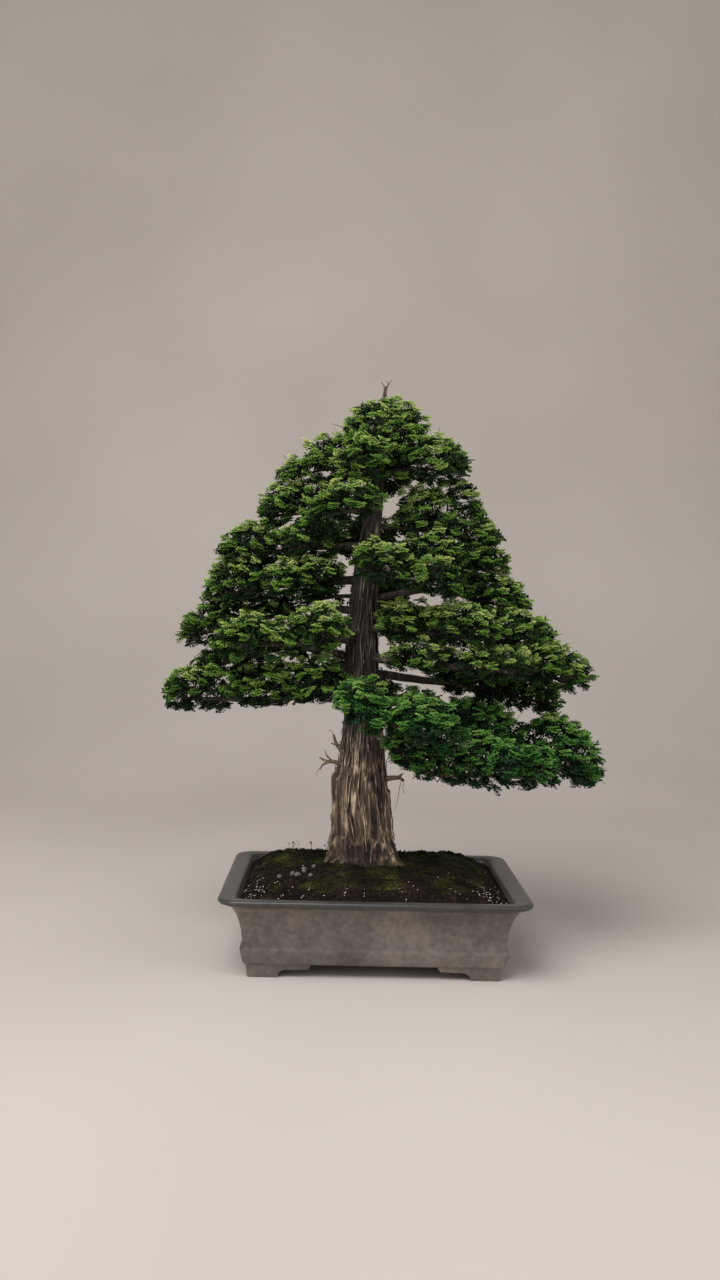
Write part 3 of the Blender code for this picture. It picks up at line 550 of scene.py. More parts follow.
def bark_relief(turn, height, radius):
    """How far the bark stands out here, from 0 in a crack to 1 on a ridge; the bark's colour follows it, with painted
    shade in the cracks.
    """
    wander = 0.22 * noise.noise(Vector((2.0 * math.cos(turn), 2.0 * math.sin(turn), 9.0 * height)))
    girth = max(1.2, radius / 0.0075)
    across = Vector((girth * math.cos(turn + wander), girth * math.sin(turn + wander), 0.0))
    strip = 1 - 2.2 * abs(noise.noise(across + Vector((3.1, 0.0, 10.0 * height))))
    fibre = 1 - 2.0 * abs(noise.noise(2.6 * across + Vector((0.0, 7.7, 26.0 * height))))
    hair = noise.noise(6.5 * across + Vector((5.0, 0.0, 60.0 * height)))
    flake = noise.noise(1.7 * across + Vector((0.0, 3.0, 48.0 * height)))
    relief = 0.50 * strip + 0.28 * fibre + 0.10 * hair + 0.12 * flake
    return relief


rings, bark_tone_and_painted_shade = [], []
for row in range(TRUNK_ROWS):
    height = 0.100 + (0.921 - 0.100) * (row / (TRUNK_ROWS - 1)) ** 1.12
    middle, radius = trunk_axis(height)
    root_share = max(0.0, min(1.0, (ROOT_TOP - height) / (ROOT_TOP - TRUNK[1, 0])))
    ring = []
    for side in range(TRUNK_SIDES):
        turn = 2 * math.pi * side / TRUNK_SIDES
        swell = -ROOT_HOLLOW
        for direction, size in ROOTS:
            off = math.remainder(turn - direction - 0.25 * noise.noise(Vector((height * 9, direction, 0))),
                                 2 * math.pi)
            swell += size * math.exp(-(off / ROOT_WIDTH) ** 2)
        relief = bark_relief(turn, height, radius)
        depth = min(0.0042, 0.085 * radius)
        reach = radius * (1 + root_share ** 1.6 * swell) + depth * (relief - 0.35)
        for direction, width, low, high, thick in BARK_PLATES:
            off = math.remainder(turn - direction, 2 * math.pi) / width
            if abs(off) < 1.6 and low - 0.02 < height < high + 0.01:
                ragged = 0.006 * noise.noise(Vector((9 * turn, 40 * height, 0.0)))
                cover = 1 - smoothstep(0.75, 1.15, abs(off))
                cover *= smoothstep(low - 0.02, low + 0.055, height)
                cover *= 1 - smoothstep(high - 0.004, high, height + ragged)
                reach += thick * cover * (0.75 + 0.5 * relief)
        ring.append(middle + Vector((reach * math.cos(turn), reach * math.sin(turn), 0.0)))
        # painted shade: the bark is darker in the hollows between the roots
        root_hollow_shade = root_share * max(0.0, -swell) * 1.6
        bark_tone_and_painted_shade.append(relief - root_hollow_shade)
    rings.append(ring)
trunk_mesh = loft(rings, "trunk")
bark_tone_and_painted_shade_map = trunk_mesh.attributes.new("bark_tone_and_painted_shade", "FLOAT", "POINT")
bark_tone_and_painted_shade_map.data.foreach_set("value", np.clip(np.array(bark_tone_and_painted_shade), 0.0, 1.0).astype(np.float32))

bark = surface("fibrous_cypress_bark")
place = add(bark, "ShaderNodeTexCoord").outputs["Object"]
height = add(bark, "ShaderNodeSeparateXYZ", {0: place}).outputs["Z"]
# strips 5 mm wide and 70 mm long, and single fibres of 1 mm, drawn out along the trunk
along = add(bark, "ShaderNodeMapping", {"Vector": place, "Scale": (1.0, 1.0, 0.07)})
strips = add(bark, "ShaderNodeTexNoise", {"Vector": along.outputs["Vector"], "Scale": 200.0, "Detail": 3.0})
fibres = add(bark, "ShaderNodeTexNoise", {"Vector": along.outputs["Vector"], "Scale": 900.0, "Detail": 2.0})
patch = add(bark, "ShaderNodeTexNoise", {"Vector": place, "Scale": 22.0, "Detail": 3.0})
# the value on the mesh is the bark's own tone with painted shade: darker in the cracks, in the hollows between the
# roots and under the loose strips
relief = add(bark, "ShaderNodeAttribute", attribute_name="bark_tone_and_painted_shade").outputs["Fac"]
mixed = add(bark, "ShaderNodeMath", {0: relief, 1: strips.outputs["Fac"]}, operation="MULTIPLY")
ridge = add(bark, "ShaderNodeMath", {0: fibres.outputs["Fac"], 1: 0.35, 2: mixed.outputs["Value"]},
            operation="MULTIPLY_ADD")
aged = add(bark, "ShaderNodeValToRGB", {"Fac": ridge.outputs["Value"]},
           stops=[(0.14, "#140e0b"), (0.64, "#d2c1a6"), (0.30, "#372a22"), (0.46, "#6e5c4c")])
young = add(bark, "ShaderNodeValToRGB", {"Fac": ridge.outputs["Value"]},
            stops=[(0.16, "#0f0c0a"), (0.66, "#8d8070"), (0.34, "#28231f"), (0.50, "#494039")])
# the bark turns darker and redder above the lowest branches
climb = add(bark, "ShaderNodeMapRange", {"Value": height, "From Min": 0.27, "From Max": 0.40})
barked = add(bark, "ShaderNodeMix", {0: climb.outputs["Result"], 6: aged.outputs["Color"], 7: young.outputs["Color"]},
             data_type="RGBA")
# weathered olive-tan wood shows on the roots
foot = add(bark, "ShaderNodeMapRange", {"Value": height, "From Min": 0.145, "From Max": 0.215,
                                        "To Min": 1.0, "To Max": 0.0})
rooted = add(bark, "ShaderNodeMath", {0: foot.outputs["Result"], 1: patch.outputs["Fac"]}, operation="MULTIPLY")
weathered = add(bark, "ShaderNodeMix", {0: rooted.outputs["Value"], 6: barked.outputs[2], 7: linear("#7c7050")},
                data_type="RGBA", blend_type="OVERLAY")
tooth = add(bark, "ShaderNodeBump", {"Height": fibres.outputs["Fac"], "Strength": 0.6, "Distance": 0.0008})
finish(bark, {"Base Color": weathered.outputs[2], "Roughness": 0.86, "Normal": tooth.outputs["Normal"]})
piece("trunk_and_roots", trunk_mesh, bark, ["trunk"])


def smooth_route(points, steps):
    """A Catmull-Rom curve through points, read at steps + 1 even places."""
    points = [Vector(point) for point in points]
    ends = [2 * points[0] - points[1], *points, 2 * points[-1] - points[-2]]
    found = []
    for step in range(steps + 1):
        along = step / steps * (len(points) - 1)
        k = min(int(along), len(points) - 2)
        t = along - k
        a, b, c, d = ends[k:k + 4]
        found.append(0.5 * (2 * b + (c - a) * t + (2 * a - 5 * b + 4 * c - d) * t ** 2
                            + (3 * b - a - 3 * c + d) * t ** 3))
    return found


class Wood:
    """Round limbs and twigs, gathered into one mesh with the value that the bark's colour reads: its own tone, darker
    as painted shade where the bark sinks in.
    """

    def __init__(self):
        self.corners, self.faces, self.bark_tone_and_painted_shade = [], [], []
        self.count = 0

    def limb(self, route, thick, thin, sides=6, rough=0.0, seed=0.0):
        last = len(route) - 1
        points = []
        for i, point in enumerate(route):
            heading = (route[min(i + 1, last)] - route[max(i - 1, 0)]).normalized()
            level = heading.cross(Vector((0, 0, 1)))
            level = level.normalized() if level.length > 0.05 else Vector((1, 0, 0))
            up = level.cross(heading)
            radius = thick + (thin - thick) * i / last
            for side in range(sides):
                turn = 2 * math.pi * side / sides
                bump = noise.noise(Vector((1.6 * math.cos(turn) + seed, 1.6 * math.sin(turn), point.length * 70)))
                bump = rough * (1.1 - 2.2 * abs(bump)) if rough else 0.0
                self.bark_tone_and_painted_shade.append(0.38 + bump)
                reach = radius * (1 + 0.55 * bump)
                points.append(point + level * reach * math.cos(turn) + up * reach * math.sin(turn))
        points += [route[0], route[-1]]
        self.bark_tone_and_painted_shade += [0.4, 0.4]
        faces = []
        for i in range(last):
            for side in range(sides):
                a, b = i * sides + side, i * sides + (side + 1) % sides
                faces += [(a, b, b + sides), (a, b + sides, a + sides)]
        tail, tip = len(points) - 2, len(points) - 1
        for side in range(sides):
            after = (side + 1) % sides
            faces += [(tail, after, side), (tip, last * sides + side, last * sides + after)]
        self.corners.append(np.array(points))
        self.faces.append(np.array(faces) + self.count)
        self.count += len(points)

    def mesh(self, name):
        mesh = triangle_mesh(name, np.concatenate(self.corners), np.concatenate(self.faces)[:, ::-1])
        mesh.attributes.new("bark_tone_and_painted_shade", "FLOAT", "POINT").data.foreach_set("value", self.bark_tone_and_painted_shade)
        return mesh


dead = surface("bare_grey_deadwood")
place = add(dead, "ShaderNodeTexCoord").outputs["Object"]
checks = add(dead, "ShaderNodeTexNoise", {"Vector": place, "Scale": 350.0, "Detail": 4.0})
tone = add(dead, "ShaderNodeValToRGB", {"Fac": checks.outputs["Fac"]}, stops=[(0.35, "#3c3029"), (0.70, "#97856f")])
tooth = add(dead, "ShaderNodeBump", {"Height": checks.outputs["Fac"], "Strength": 0.5, "Distance": 0.0008})
finish(dead, {"Base Color": tone.outputs["Color"], "Roughness": 0.8, "Normal": tooth.outputs["Normal"]})

stubs = Wood()
for corners, thick in (
        ([(-45, 20, 308), (-58, 14, 326), (-66, 10, 338), (-70, 9, 352)], 4.6),
        ([(-58, 14, 326), (-64, 10, 333), (-74, 6, 338)], 2.4),
        ([(-46, 16, 300), (-66, 8, 307), (-80, 5, 308), (-92, 4, 314)], 4.2),
        ([(-76, 5, 307), (-86, 2, 303), (-91, 0, 295)], 2.2), ([(-70, 8, 307), (-80, 12, 316), (-84, 14, 326)], 1.8),
        ([(8, 22, 276), (22, 10, 282), (38, 4, 284), (46, 2, 279)], 5.2), ([(30, 6, 283), (40, 2, 288), (44, 0, 292)], 2.6),
        ([(14, 20, 560), (24, 14, 566), (31, 12, 575)], 2.0), ([(-42, 22, 446), (-54, 16, 452), (-60, 15, 460)], 2.2),
        ([(1, 30, 905), (2, 30, 914), (5, 30, 923), (10, 30, 931)], 2.2), ([(1, 30, 912), (-1, 30, 920), (-6, 30, 928)], 1.9),
        ([(5, 30, 923), (4, 31, 928), (1, 31, 930)], 1.2)):
    route = [point * MM + PLANT_SHIFT for point in smooth_route(corners, 9)]
    stubs.limb(route, thick * MM, 0.3 * thick * MM, 9, 0.30, thick)
# a torn thread of bark hangs from the right stub, and a few hairs curl off the left ones
for corners in ([(42, 3, 281), (38, 2, 262), (36, 3, 246), (31, 4, 232)], [(46, 2, 279), (44, 1, 268), (47, 0, 258)],
                [(-90, 1, 298), (-96, 0, 290), (-95, 0, 282)], [(-70, 9, 350), (-74, 8, 357), (-79, 8, 360)]):
    stubs.limb([point * MM + PLANT_SHIFT for point in smooth_route(corners, 8)], 0.0006, 0.0003, 4)
piece("dead_stubs", stubs.mesh("dead_stubs"), dead)

# Loose strips of bark, thin and narrow, that lift away from the trunk at one end.
rng = np.random.default_rng(5)
corners, faces, bark_tone_and_painted_shade = [], [], []
STRIP_STEPS = 9
for number in range(230):
    height = rng.uniform(0.165, 0.60) ** 1.0
    turn = rng.uniform(0, 2 * math.pi)
    long = rng.uniform(0.020, 0.065)
    wide = rng.uniform(0.0010, 0.0026)
    lift = rng.uniform(0.0008, 0.0050) * rng.choice((-1, 1))
    skew = rng.normal(scale=0.10)
    start = len(corners)
    for step in range(STRIP_STEPS):
        share = step / (STRIP_STEPS - 1)
        level = height + long * (share - 0.5)
        middle, radius = trunk_axis(level)
        here = turn + skew * (share - 0.5)
        root_share = max(0.0, min(1.0, (ROOT_TOP - level) / (ROOT_TOP - TRUNK[1, 0])))
        swell = -ROOT_HOLLOW + sum(size * math.exp(-(math.remainder(here - way, 2 * math.pi) / ROOT_WIDTH) ** 2)
                            for way, size in ROOTS)
        out = radius * (1 + root_share ** 1.6 * swell) + 0.0008
        for direction, width, low, high, thick in BARK_PLATES:
            if abs(math.remainder(here - direction, 2 * math.pi)) < width and low < level < high:
                out += thick
        out += abs(lift) * (share if lift > 0 else 1 - share) ** 2
        taper = wide * (0.35 + 0.65 * math.sin(math.pi * min(0.97, max(0.06, share))))
        side = Vector((-math.sin(here), math.cos(here), 0)) * taper
        away = Vector((math.cos(here), math.sin(here), 0))
        centre = middle + away * out
        corners += [centre - side, centre + away * 0.0007, centre + side, centre - away * 0.0005]
        # the strip's outer ridge is lighter and its inner side darker, as painted shade
        bark_tone_and_painted_shade += [0.35, 0.8, 0.35, 0.2]
    for step in range(STRIP_STEPS - 1):
        for side in range(4):
            a, b = start + 4 * step + side, start + 4 * step + (side + 1) % 4
            faces += [(a, b, b + 4), (a, b + 4, a + 4)]
    last = start + 4 * (STRIP_STEPS - 1)
    faces += [(start, start + 2, start + 1), (start, start + 3, start + 2),
              (last, last + 1, last + 2), (last, last + 2, last + 3)]
strip_mesh = triangle_mesh("bark_strips", np.array(corners), np.array(faces))
strip_mesh.attributes.new("bark_tone_and_painted_shade", "FLOAT", "POINT").data.foreach_set("value", bark_tone_and_painted_shade)
piece("loose_bark_strips", strip_mesh, bark)

# ======================================================================== spore stalks on the moss
# A few mosses at the back left have sent up hair-thin red-brown stalks, some with a dark capsule.
stalk = surface("red_brown_spore_stalks")
place = add(stalk, "ShaderNodeTexCoord").outputs["Object"]
# streaks of 3 mm
streak = add(stalk, "ShaderNodeTexNoise", {"Vector": place, "Scale": 320.0, "Detail": 2.0})
tone = add(stalk, "ShaderNodeValToRGB", {"Fac": streak.outputs["Fac"]}, stops=[(0.35, "#2a1a10"), (0.65, "#6b4a2c")])
finish(stalk, {"Base Color": tone.outputs["Color"], "Roughness": 0.6})
rng = np.random.default_rng(41)
spots = scattered(rng, 300, lambda point, share: abs(point.x + 0.125) < 0.045 and point.y > 0, 0.6, 0.93, moss_top)
spots = sorted(spots, key=lambda point: -point.y)[:40:3]
wood, capsules = Wood(), []
for spot in spots:
    tip = spot + Vector((*rng.normal(scale=0.004, size=2), rng.uniform(0.015, 0.027)))
    bow = Vector((*rng.normal(scale=0.0015, size=2), 0))
    wood.limb(smooth_route([spot, spot.lerp(tip, 0.5) + bow, tip], 6), 0.00045, 0.00030, 4)
    if rng.random() < 0.45:
        capsules.append(tip)
piece("spore_stalks", wood.mesh("spore_stalks"), stalk)
piece("spore_capsules", grains("capsules", capsules, rng.uniform(0.0022, 0.0034, len(capsules)), rng, 0.08, 1.3),
      stalk, smooth=False)

# ======================================================================== branches and twigs
# Each branch is living wood that leaves the trunk nearly level and droops towards its tip, trained
# flat by years of wiring. It forks into fine twigs that run out under its foliage.
# radius at the trunk, radius at the tip, route in millimetres from the pot's middle
BRANCHES = {
    "left_low": (9.0, 2.5, [(-28, 30, 430), (-95, -5, 420), (-186, 0, 407), (-318, 18, 404)]),
    "front_low": (7.0, 2.5, [(-24, 20, 405), (-20, -50, 404), (2, -105, 388), (95, -135, 362)]),
    "right_low": (10.0, 2.5, [(-22, 34, 385), (60, 52, 376), (183, 58, 345), (345, 32, 290)]),
    "right_low_front": (6.0, 2.0, [(-20, 24, 372), (22, -20, 336), (68, -58, 304), (165, -74, 303),
                                   (250, -66, 298)]),
    "left_mid_back": (7.0, 2.0, [(-28, 32, 474), (-90, 34, 486), (-155, 40, 490), (-237, 50, 466), (-290, 52, 450)]),
    "left_mid": (7.0, 2.0, [(-26, 26, 522), (-60, -12, 511), (-98, -34, 501), (-200, -46, 496), (-262, -44, 492)]),
    "left_mid_high": (6.5, 2.0, [(-26, 34, 552), (-80, 44, 556), (-140, 56, 551), (-215, 54, 530), (-306, 36, 505)]),
    "left_thin": (4.0, 1.5, [(-25, 36, 576), (-66, 58, 577), (-98, 68, 571), (-132, 72, 563)]),
    "left_upper": (7.0, 2.0, [(-25, 28, 604), (-99, 18, 598), (-180, 14, 588), (-278, 28, 570)]),
    "left_high": (6.0, 2.0, [(-22, 30, 660), (-112, 10, 654), (-180, 20, 645), (-258, 30, 630)]),
    "left_crown": (5.0, 1.5, [(-16, 32, 718), (-90, 34, 716), (-150, 32, 709), (-188, 30, 702)]),
    "right_crown": (5.0, 1.5, [(-12, 32, 694), (60, 38, 690), (120, 42, 682), (186, 40, 668)]),
    "right_high": (6.0, 2.0, [(-14, 30, 640), (40, 18, 630), (90, 16, 626), (134, 30, 628), (200, 42, 626)]),
    "right_upper": (6.0, 2.0, [(-8, 32, 574), (50, 30, 587), (99, 30, 591), (149, 38, 580), (240, 52, 560)]),
    "right_mid_high": (7.0, 2.0, [(-20, 26, 526), (33, -8, 522), (131, -24, 514), (190, 10, 512), (285, 58, 502)]),
    "right_mid": (8.0, 2.0, [(-22, 28, 478), (66, -12, 472), (186, -32, 464), (250, -2, 457), (338, 22, 444)]),
    "right_mid_back": (7.0, 2.0, [(-22, 36, 452), (60, 70, 442), (150, 90, 430), (216, 94, 418), (300, 88, 402)]),
    "front_mid": (4.5, 1.5, [(-18, 22, 622), (-10, -20, 618), (5, -58, 609), (60, -66, 600), (112, -58, 592)]),
    "front_high": (4.5, 1.5, [(-10, 22, 718), (-20, -20, 717), (-45, -50, 710), (-104, -58, 698)]),
    "back_low": (6.5, 2.0, [(-26, 40, 430), (-44, 100, 429), (-34, 165, 418), (-10, 240, 398)]),
    "back_left": (5.0, 2.0, [(-26, 38, 505), (-80, 90, 500), (-116, 145, 488), (-132, 175, 480)]),
    "back_right": (5.0, 2.0, [(-20, 40, 534), (50, 95, 530), (104, 145, 517), (128, 172, 508)]),
    "back_mid": (5.0, 2.0, [(-24, 42, 584), (-2, 100, 582), (6, 160, 570), (4, 222, 548)]),
    "back_high": (4.5, 1.5, [(-14, 42, 672), (-20, 90, 672), (-30, 140, 660), (-34, 170, 650)]),
}
CROWN_SHOOTS = [(4.0, 1.5, [(-8, 32, 786), (-55, 34, 787), (-105, 34, 781), (-150, 40, 766)]),
                (4.0, 1.5, [(-4, 28, 778), (50, 18, 786), (104, 12, 784), (142, 12, 776)]),
                (3.0, 1.5, [(-4, 24, 776), (-14, -8, 780), (-36, -34, 774), (-66, -44, 764)]),
                (3.0, 1.5, [(-6, 38, 774), (-4, 62, 782), (2, 90, 778), (4, 116, 768)]),
                (4.0, 1.2, [(-3, 30, 800), (-20, 26, 822), (-34, 24, 846), (-44, 22, 866)]),
                (3.5, 1.2, [(-3, 30, 815), (18, 26, 836), (34, 30, 852), (50, 34, 868)]),
                (3.0, 1.2, [(-2, 30, 830), (2, 44, 850), (4, 60, 868), (2, 76, 874)]),
                (3.0, 1.2, [(-2, 30, 822), (2, 10, 842), (8, -6, 858), (12, -20, 862)])]
TWIG_AREA = 0.00085  # one twig for this much of a foliage mass's surface, in square metres


def skin(node_name, count, rng):
    """Places spread evenly over a CAD node's surface, and the way each faces."""
    mesh = frame["nodes"][node_name].data
    mesh.calc_loop_triangles()
    points = np.array([vert.co for vert in mesh.vertices])
    corners = points[np.array([triangle.vertices for triangle in mesh.loop_triangles])]
    faces = np.cross(corners[:, 1] - corners[:, 0], corners[:, 2] - corners[:, 0])
    areas = np.linalg.norm(faces, axis=1) / 2
    if count is None:
        return areas.sum()
    chosen = rng.choice(len(areas), size=count, p=areas / areas.sum())
    a, b = rng.random((2, count, 1))
    flip = a + b > 1
    a, b = np.where(flip, 1 - a, a), np.where(flip, 1 - b, b)
    base = corners[chosen]
    spots = base[:, 0] + a * (base[:, 1] - base[:, 0]) + b * (base[:, 2] - base[:, 0])
    return spots, faces[chosen] / (2 * areas[chosen, None])


def add_twigs(wood, routes, foliage, rng):
    """Twigs from the limbs out to the mass of foliage that they carry, each with a fork."""
    spots, ways = skin(foliage, max(8, int(skin(foliage, None, rng) / TWIG_AREA)), rng)
    joints = [(point, i / (len(route) - 1)) for route in routes for i, point in enumerate(route)][1:]
    places = np.array([point for point, _ in joints])
    for spot, way in zip(spots, ways):
        spot = spot - way * 0.007
        gaps = np.linalg.norm(places - spot, axis=1) + 0.35 * np.maximum(0, places[:, 2] - spot[2] + 0.004)
        start = joints[int(np.argsort(gaps)[min(len(gaps) - 1, int(rng.integers(1, 4)))])][0]
        end = Vector(spot)
        sag = Vector(rng.normal(scale=0.12, size=3)) * (end - start).length
        route = smooth_route([start, start.lerp(end, 0.5) + sag - Vector((0, 0, 0.003)), end], 5)
        thick = 0.0008 + 0.010 * (end - start).length
        wood.limb(route, min(0.0019, thick), 0.0005, 4, 0.0)
        fork = route[3]
        side = end + Vector(rng.normal(scale=0.010, size=3))
        wood.limb([fork, fork.lerp(side, 0.55) + sag * 0.3, side], 0.0007, 0.0004, 3, 0.0)


limb_routes = {}
for number, (name, (thick, thin, corners)) in enumerate(BRANCHES.items()):
    rng = np.random.default_rng(100 + number)
    wood = Wood()
    route = [point * MM + PLANT_SHIFT for point in smooth_route(corners, 44)]
    route = [point + Vector((0, 0, 1)) * 0.0012 * noise.noise(point * 45) for point in route]
    limb_routes[name] = route
    wood.limb(route, thick * MM, thin * MM, 12, 0.26, number)
    add_twigs(wood, [route], f"foliage_{name}", rng)
    piece(f"branch_{name}_wood", wood.mesh(f"branch_{name}"), bark, [f"branch_{name}"])

rng = np.random.default_rng(77)
wood, routes = Wood(), []
for number, (thick, thin, corners) in enumerate(CROWN_SHOOTS):
    route = [point * MM + PLANT_SHIFT for point in smooth_route(corners, 26)]
    wood.limb(route, thick * MM, thin * MM, 9, 0.24, number)
    routes.append(route)
add_twigs(wood, routes, "foliage_crown", rng)
piece("crown_shoots", wood.mesh("crown_shoots"), bark)

# ======================================================================== the foliage
# Hinoki cypress leaves are 2 mm scales that clothe each shoot, and the shoots branch in one plane
# into flat fans about 30 mm long. Fans overlap into a mass: deep green and waxy inside, darkened
# further there by painted shade, and yellow-green at the new tips. A shoot is a chain of closed
# links, each a kite folded along its ridge.
SHOOT_LINK = 5.0 * MM
SHOOT_HALF_WIDTH = 0.95 * MM
SHOOT_HALF_DEPTH = 0.50 * MM
FAN_LENGTH = 21 * MM
TUFT_AREA = 0.00032  # one tuft for about this much of a mass's surface, in square metres
TUFT_GAP = 0.0138
TUFT_FANS = 7
INNER_AREA = 0.00016
FAN_KINDS = 9
PIECE_FACES = 192_000
LINK_FACES = np.array([(0, 1, 2), (1, 0, 3), (0, 2, 3), (1, 3, 2)])


def fan(rng, deepest=2, broad=1.0):
    """A fan of shoots in the XY plane that grows along X: corners, faces, and each corner's map."""
    links = []

    def shoot(start, heading, count, depth, phase):
        here = np.array(start, float)
        for step in range(count):
            length = SHOOT_LINK * rng.uniform(0.85, 1.15) * (1.0 if depth < 2 else 0.85)
            there = here + length * np.array([math.cos(heading), math.sin(heading)])
            links.append((here.copy(), there, depth, step == count - 1))
            if depth < deepest and step + depth > 0:
                for way in (1, -1) if depth == 0 else ((-1) ** (step + phase),):
                    more = max(1, min(count - step - depth, 3 - depth))
                    turn = way * rng.uniform(0.55, 0.85)
                    shoot(here + 0.25 * (there - here), heading + turn, more, depth + 1, phase + 1)
            heading += rng.normal(scale=0.10)
            here = there - 0.12 * (there - here)

    shoot((0.0, 0.0), 0.0, 4, 0, int(rng.integers(2)))
    corners, faces, maps = [], [], []
    for number, (start, end, depth, last) in enumerate(links):
        along = (end - start) / np.linalg.norm(end - start)
        across = np.array([-along[1], along[0]])
        wide = broad * SHOOT_HALF_WIDTH * rng.uniform(0.85, 1.15)
        middle = start + 0.5 * (end - start)
        flat = np.array([start - 0.1 * (end - start), end, middle + across * wide, middle - across * wide])
        fold = SHOOT_HALF_DEPTH * np.array([1, 1, -1, -1]) + rng.normal(scale=0.0006)
        corners.append(np.column_stack([flat, fold]))
        faces.append(LINK_FACES + 4 * number)
        reach = np.linalg.norm(flat, axis=1) / FAN_LENGTH
        shade = rng.uniform(-0.06, 0.06) + (0.07 if last else 0.0) + np.array([0.0, 0.0, 0.012, -0.012])
        maps.append(np.column_stack([shade, np.clip(0.15 + 0.85 * reach, 0.02, 0.98)]))
    return np.concatenate(corners), np.concatenate(faces), np.concatenate(maps)


def unit(rows):
    return rows / np.maximum(np.linalg.norm(rows, axis=-1, keepdims=True), 1e-9)


def spaced(spots, gap):
    """Which of the places to keep, so that no two are nearer than the gap."""
    kept = []
    for i, spot in enumerate(spots):
        if not kept or np.min(np.linalg.norm(spots[kept] - spot, axis=1)) > gap:
            kept.append(i)
    return np.array(kept)


def foliage_mass(name, routes, tone, rng, droop=0.0, density=1.0):
    """Tufts of fans all over a mass of foliage, tiled like shingles, with painted light and shade, and single fans
    inside painted darker as shade.
    """
    area = skin(name, None, rng)
    spots, ways = skin(name, int(area / TUFT_AREA * 3.0), rng)
    kept = spaced(spots, TUFT_GAP / density)
    spots, ways = spots[kept], ways[kept]
    low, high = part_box(name)
    places = np.array([point for route in routes for point in route[2:]])
    nearest = places[np.argmin(np.linalg.norm(spots[:, None, :] - places[None], axis=2), axis=1)]
    stem = np.array(trunk_axis(float(spots[:, 2].mean()))[0])
    out, away = spots - nearest, spots - stem
    out[:, 2] = away[:, 2] = 0
    under = np.clip(-ways[:, 2], 0, 1)
    rise = np.clip(ways[:, 2], 0, 1)
    rim = 1 - np.abs(ways[:, 2])
    lump = np.array([fractal(Vector(spot), 0.030, 2) for spot in spots])
    grown = 0.006 + 0.007 * np.clip(lump, -1, 1) + 0.003 * rng.normal(size=len(spots))
    hang = 0.010 - 0.020 * droop
    spots = spots + ways * grown[:, None] - np.array([0, 0, 1]) * (hang * (under + 0.5 * rim))[:, None]
    lead = 0.8 * unit(out) + 0.55 * unit(away) + 0.35 * ways + 0.35 * rng.normal(size=spots.shape)
    lead[:, 2] = 0.24 * rise - (0.16 + 0.7 * droop) * rim * (1 - rise) - 0.30 * under + 0.10 * rng.normal(size=len(spots))
    lead = unit(lead)
    top = np.array([0, 0, 1.0]) + 0.50 * ways * (1 - under[:, None]) + 0.22 * rng.normal(size=spots.shape)
    top = unit(top - lead * np.sum(top * lead, axis=1, keepdims=True))
    side = np.cross(top, lead)
    # painted light and shade: tufts on top of the mass lighter, those underneath darker, the higher part lighter; the
    # lump and the noise are the leaves' own tone
    shade = tone + 0.22 * rise - 0.32 * under + 0.16 * lump + 0.07 * rng.normal(size=len(spots))
    shade += 0.12 * (spots[:, 2] - low.z) / max(high.z - low.z, 0.01)
    turns = np.linspace(-1.25, 1.25, TUFT_FANS)[None] + rng.normal(scale=0.16, size=(len(spots), TUFT_FANS))
    lower = (np.arange(TUFT_FANS) % 2)[None] * np.ones((len(spots), 1))
    tilt = rng.normal(scale=0.14, size=turns.shape) - 0.16 * lower
    heading = (np.cos(turns)[..., None] * lead[:, None] + np.sin(turns)[..., None] * side[:, None]
               + tilt[..., None] * top[:, None])
    start = (spots[:, None] - lead[:, None] * 0.010 - heading * rng.uniform(0.004, 0.010, turns.shape)[..., None]
             - top[:, None] * (0.004 * lower + rng.uniform(0, 0.002, turns.shape))[..., None])
    facing = top[:, None] + 0.22 * rng.normal(size=start.shape)
    # the lower fans of each tuft are painted darker, as shade under the upper ones
    shade = shade[:, None] - 0.10 * lower + 0.05 * rng.normal(size=turns.shape)
    heading, start, facing = (block.reshape(-1, 3) for block in (heading, start, facing))
    shade = shade.reshape(-1)
    # single fans inside the mass, which are seen through the gaps between the tufts, painted darker as shade
    deep, ways = skin(name, int(area / INNER_AREA), rng)
    wander = unit(rng.normal(size=deep.shape))
    heading = unit(np.concatenate([heading, wander]))
    start = np.concatenate([start, deep - ways * rng.uniform(0.004, 0.016, (len(deep), 1)) - wander * 0.012])
    facing = np.concatenate([facing, np.array([0, 0, 1.0]) + 0.5 * rng.normal(size=deep.shape)])
    shade = np.concatenate([shade, tone - 0.30 + 0.05 * rng.normal(size=len(deep))])
    shade = np.clip(shade, 0.06, 0.94)
    total = len(shade)
    facing = unit(facing - heading * np.sum(facing * heading, axis=1, keepdims=True))
    across = np.cross(facing, heading)
    size = rng.uniform(0.68, 1.05, total)
    size[-len(deep):] *= 1.35
    bend = rng.uniform(3.0, 13.0, total) * rng.choice((1, 1, 1, 1, -0.5), total)
    kinds = rng.integers(FAN_KINDS, size=total)
    kinds[-len(deep):] = rng.integers(FAN_KINDS, len(fans), size=len(deep))
    corners, faces, maps, count = [], [], [], 0
    for kind in range(len(fans)):
        chosen = np.flatnonzero(kinds == kind)
        shape, shape_faces, shape_maps = fans[kind]
        x, y, z = (shape[None, :, k] * size[chosen, None] for k in range(3))
        curl = -bend[chosen, None] * (x ** 2 + 0.6 * y ** 2)
        cloud = (start[chosen, None, :] + x[..., None] * heading[chosen, None, :]
                 + y[..., None] * across[chosen, None, :] + (z + curl)[..., None] * facing[chosen, None, :])
        corners.append(cloud.reshape(-1, 3))
        steps = count + len(shape) * np.arange(len(chosen))
        faces.append((shape_faces[None] + steps[:, None, None]).reshape(-1, 3))
        place = np.broadcast_to(shape_maps, (len(chosen), *shape_maps.shape)).copy()
        place[..., 0] += shade[chosen, None]
        maps.append(place.reshape(-1, 2))
        count += len(shape) * len(chosen)
    return np.concatenate(corners), np.concatenate(faces), np.clip(np.concatenate(maps), 0.01, 0.99)


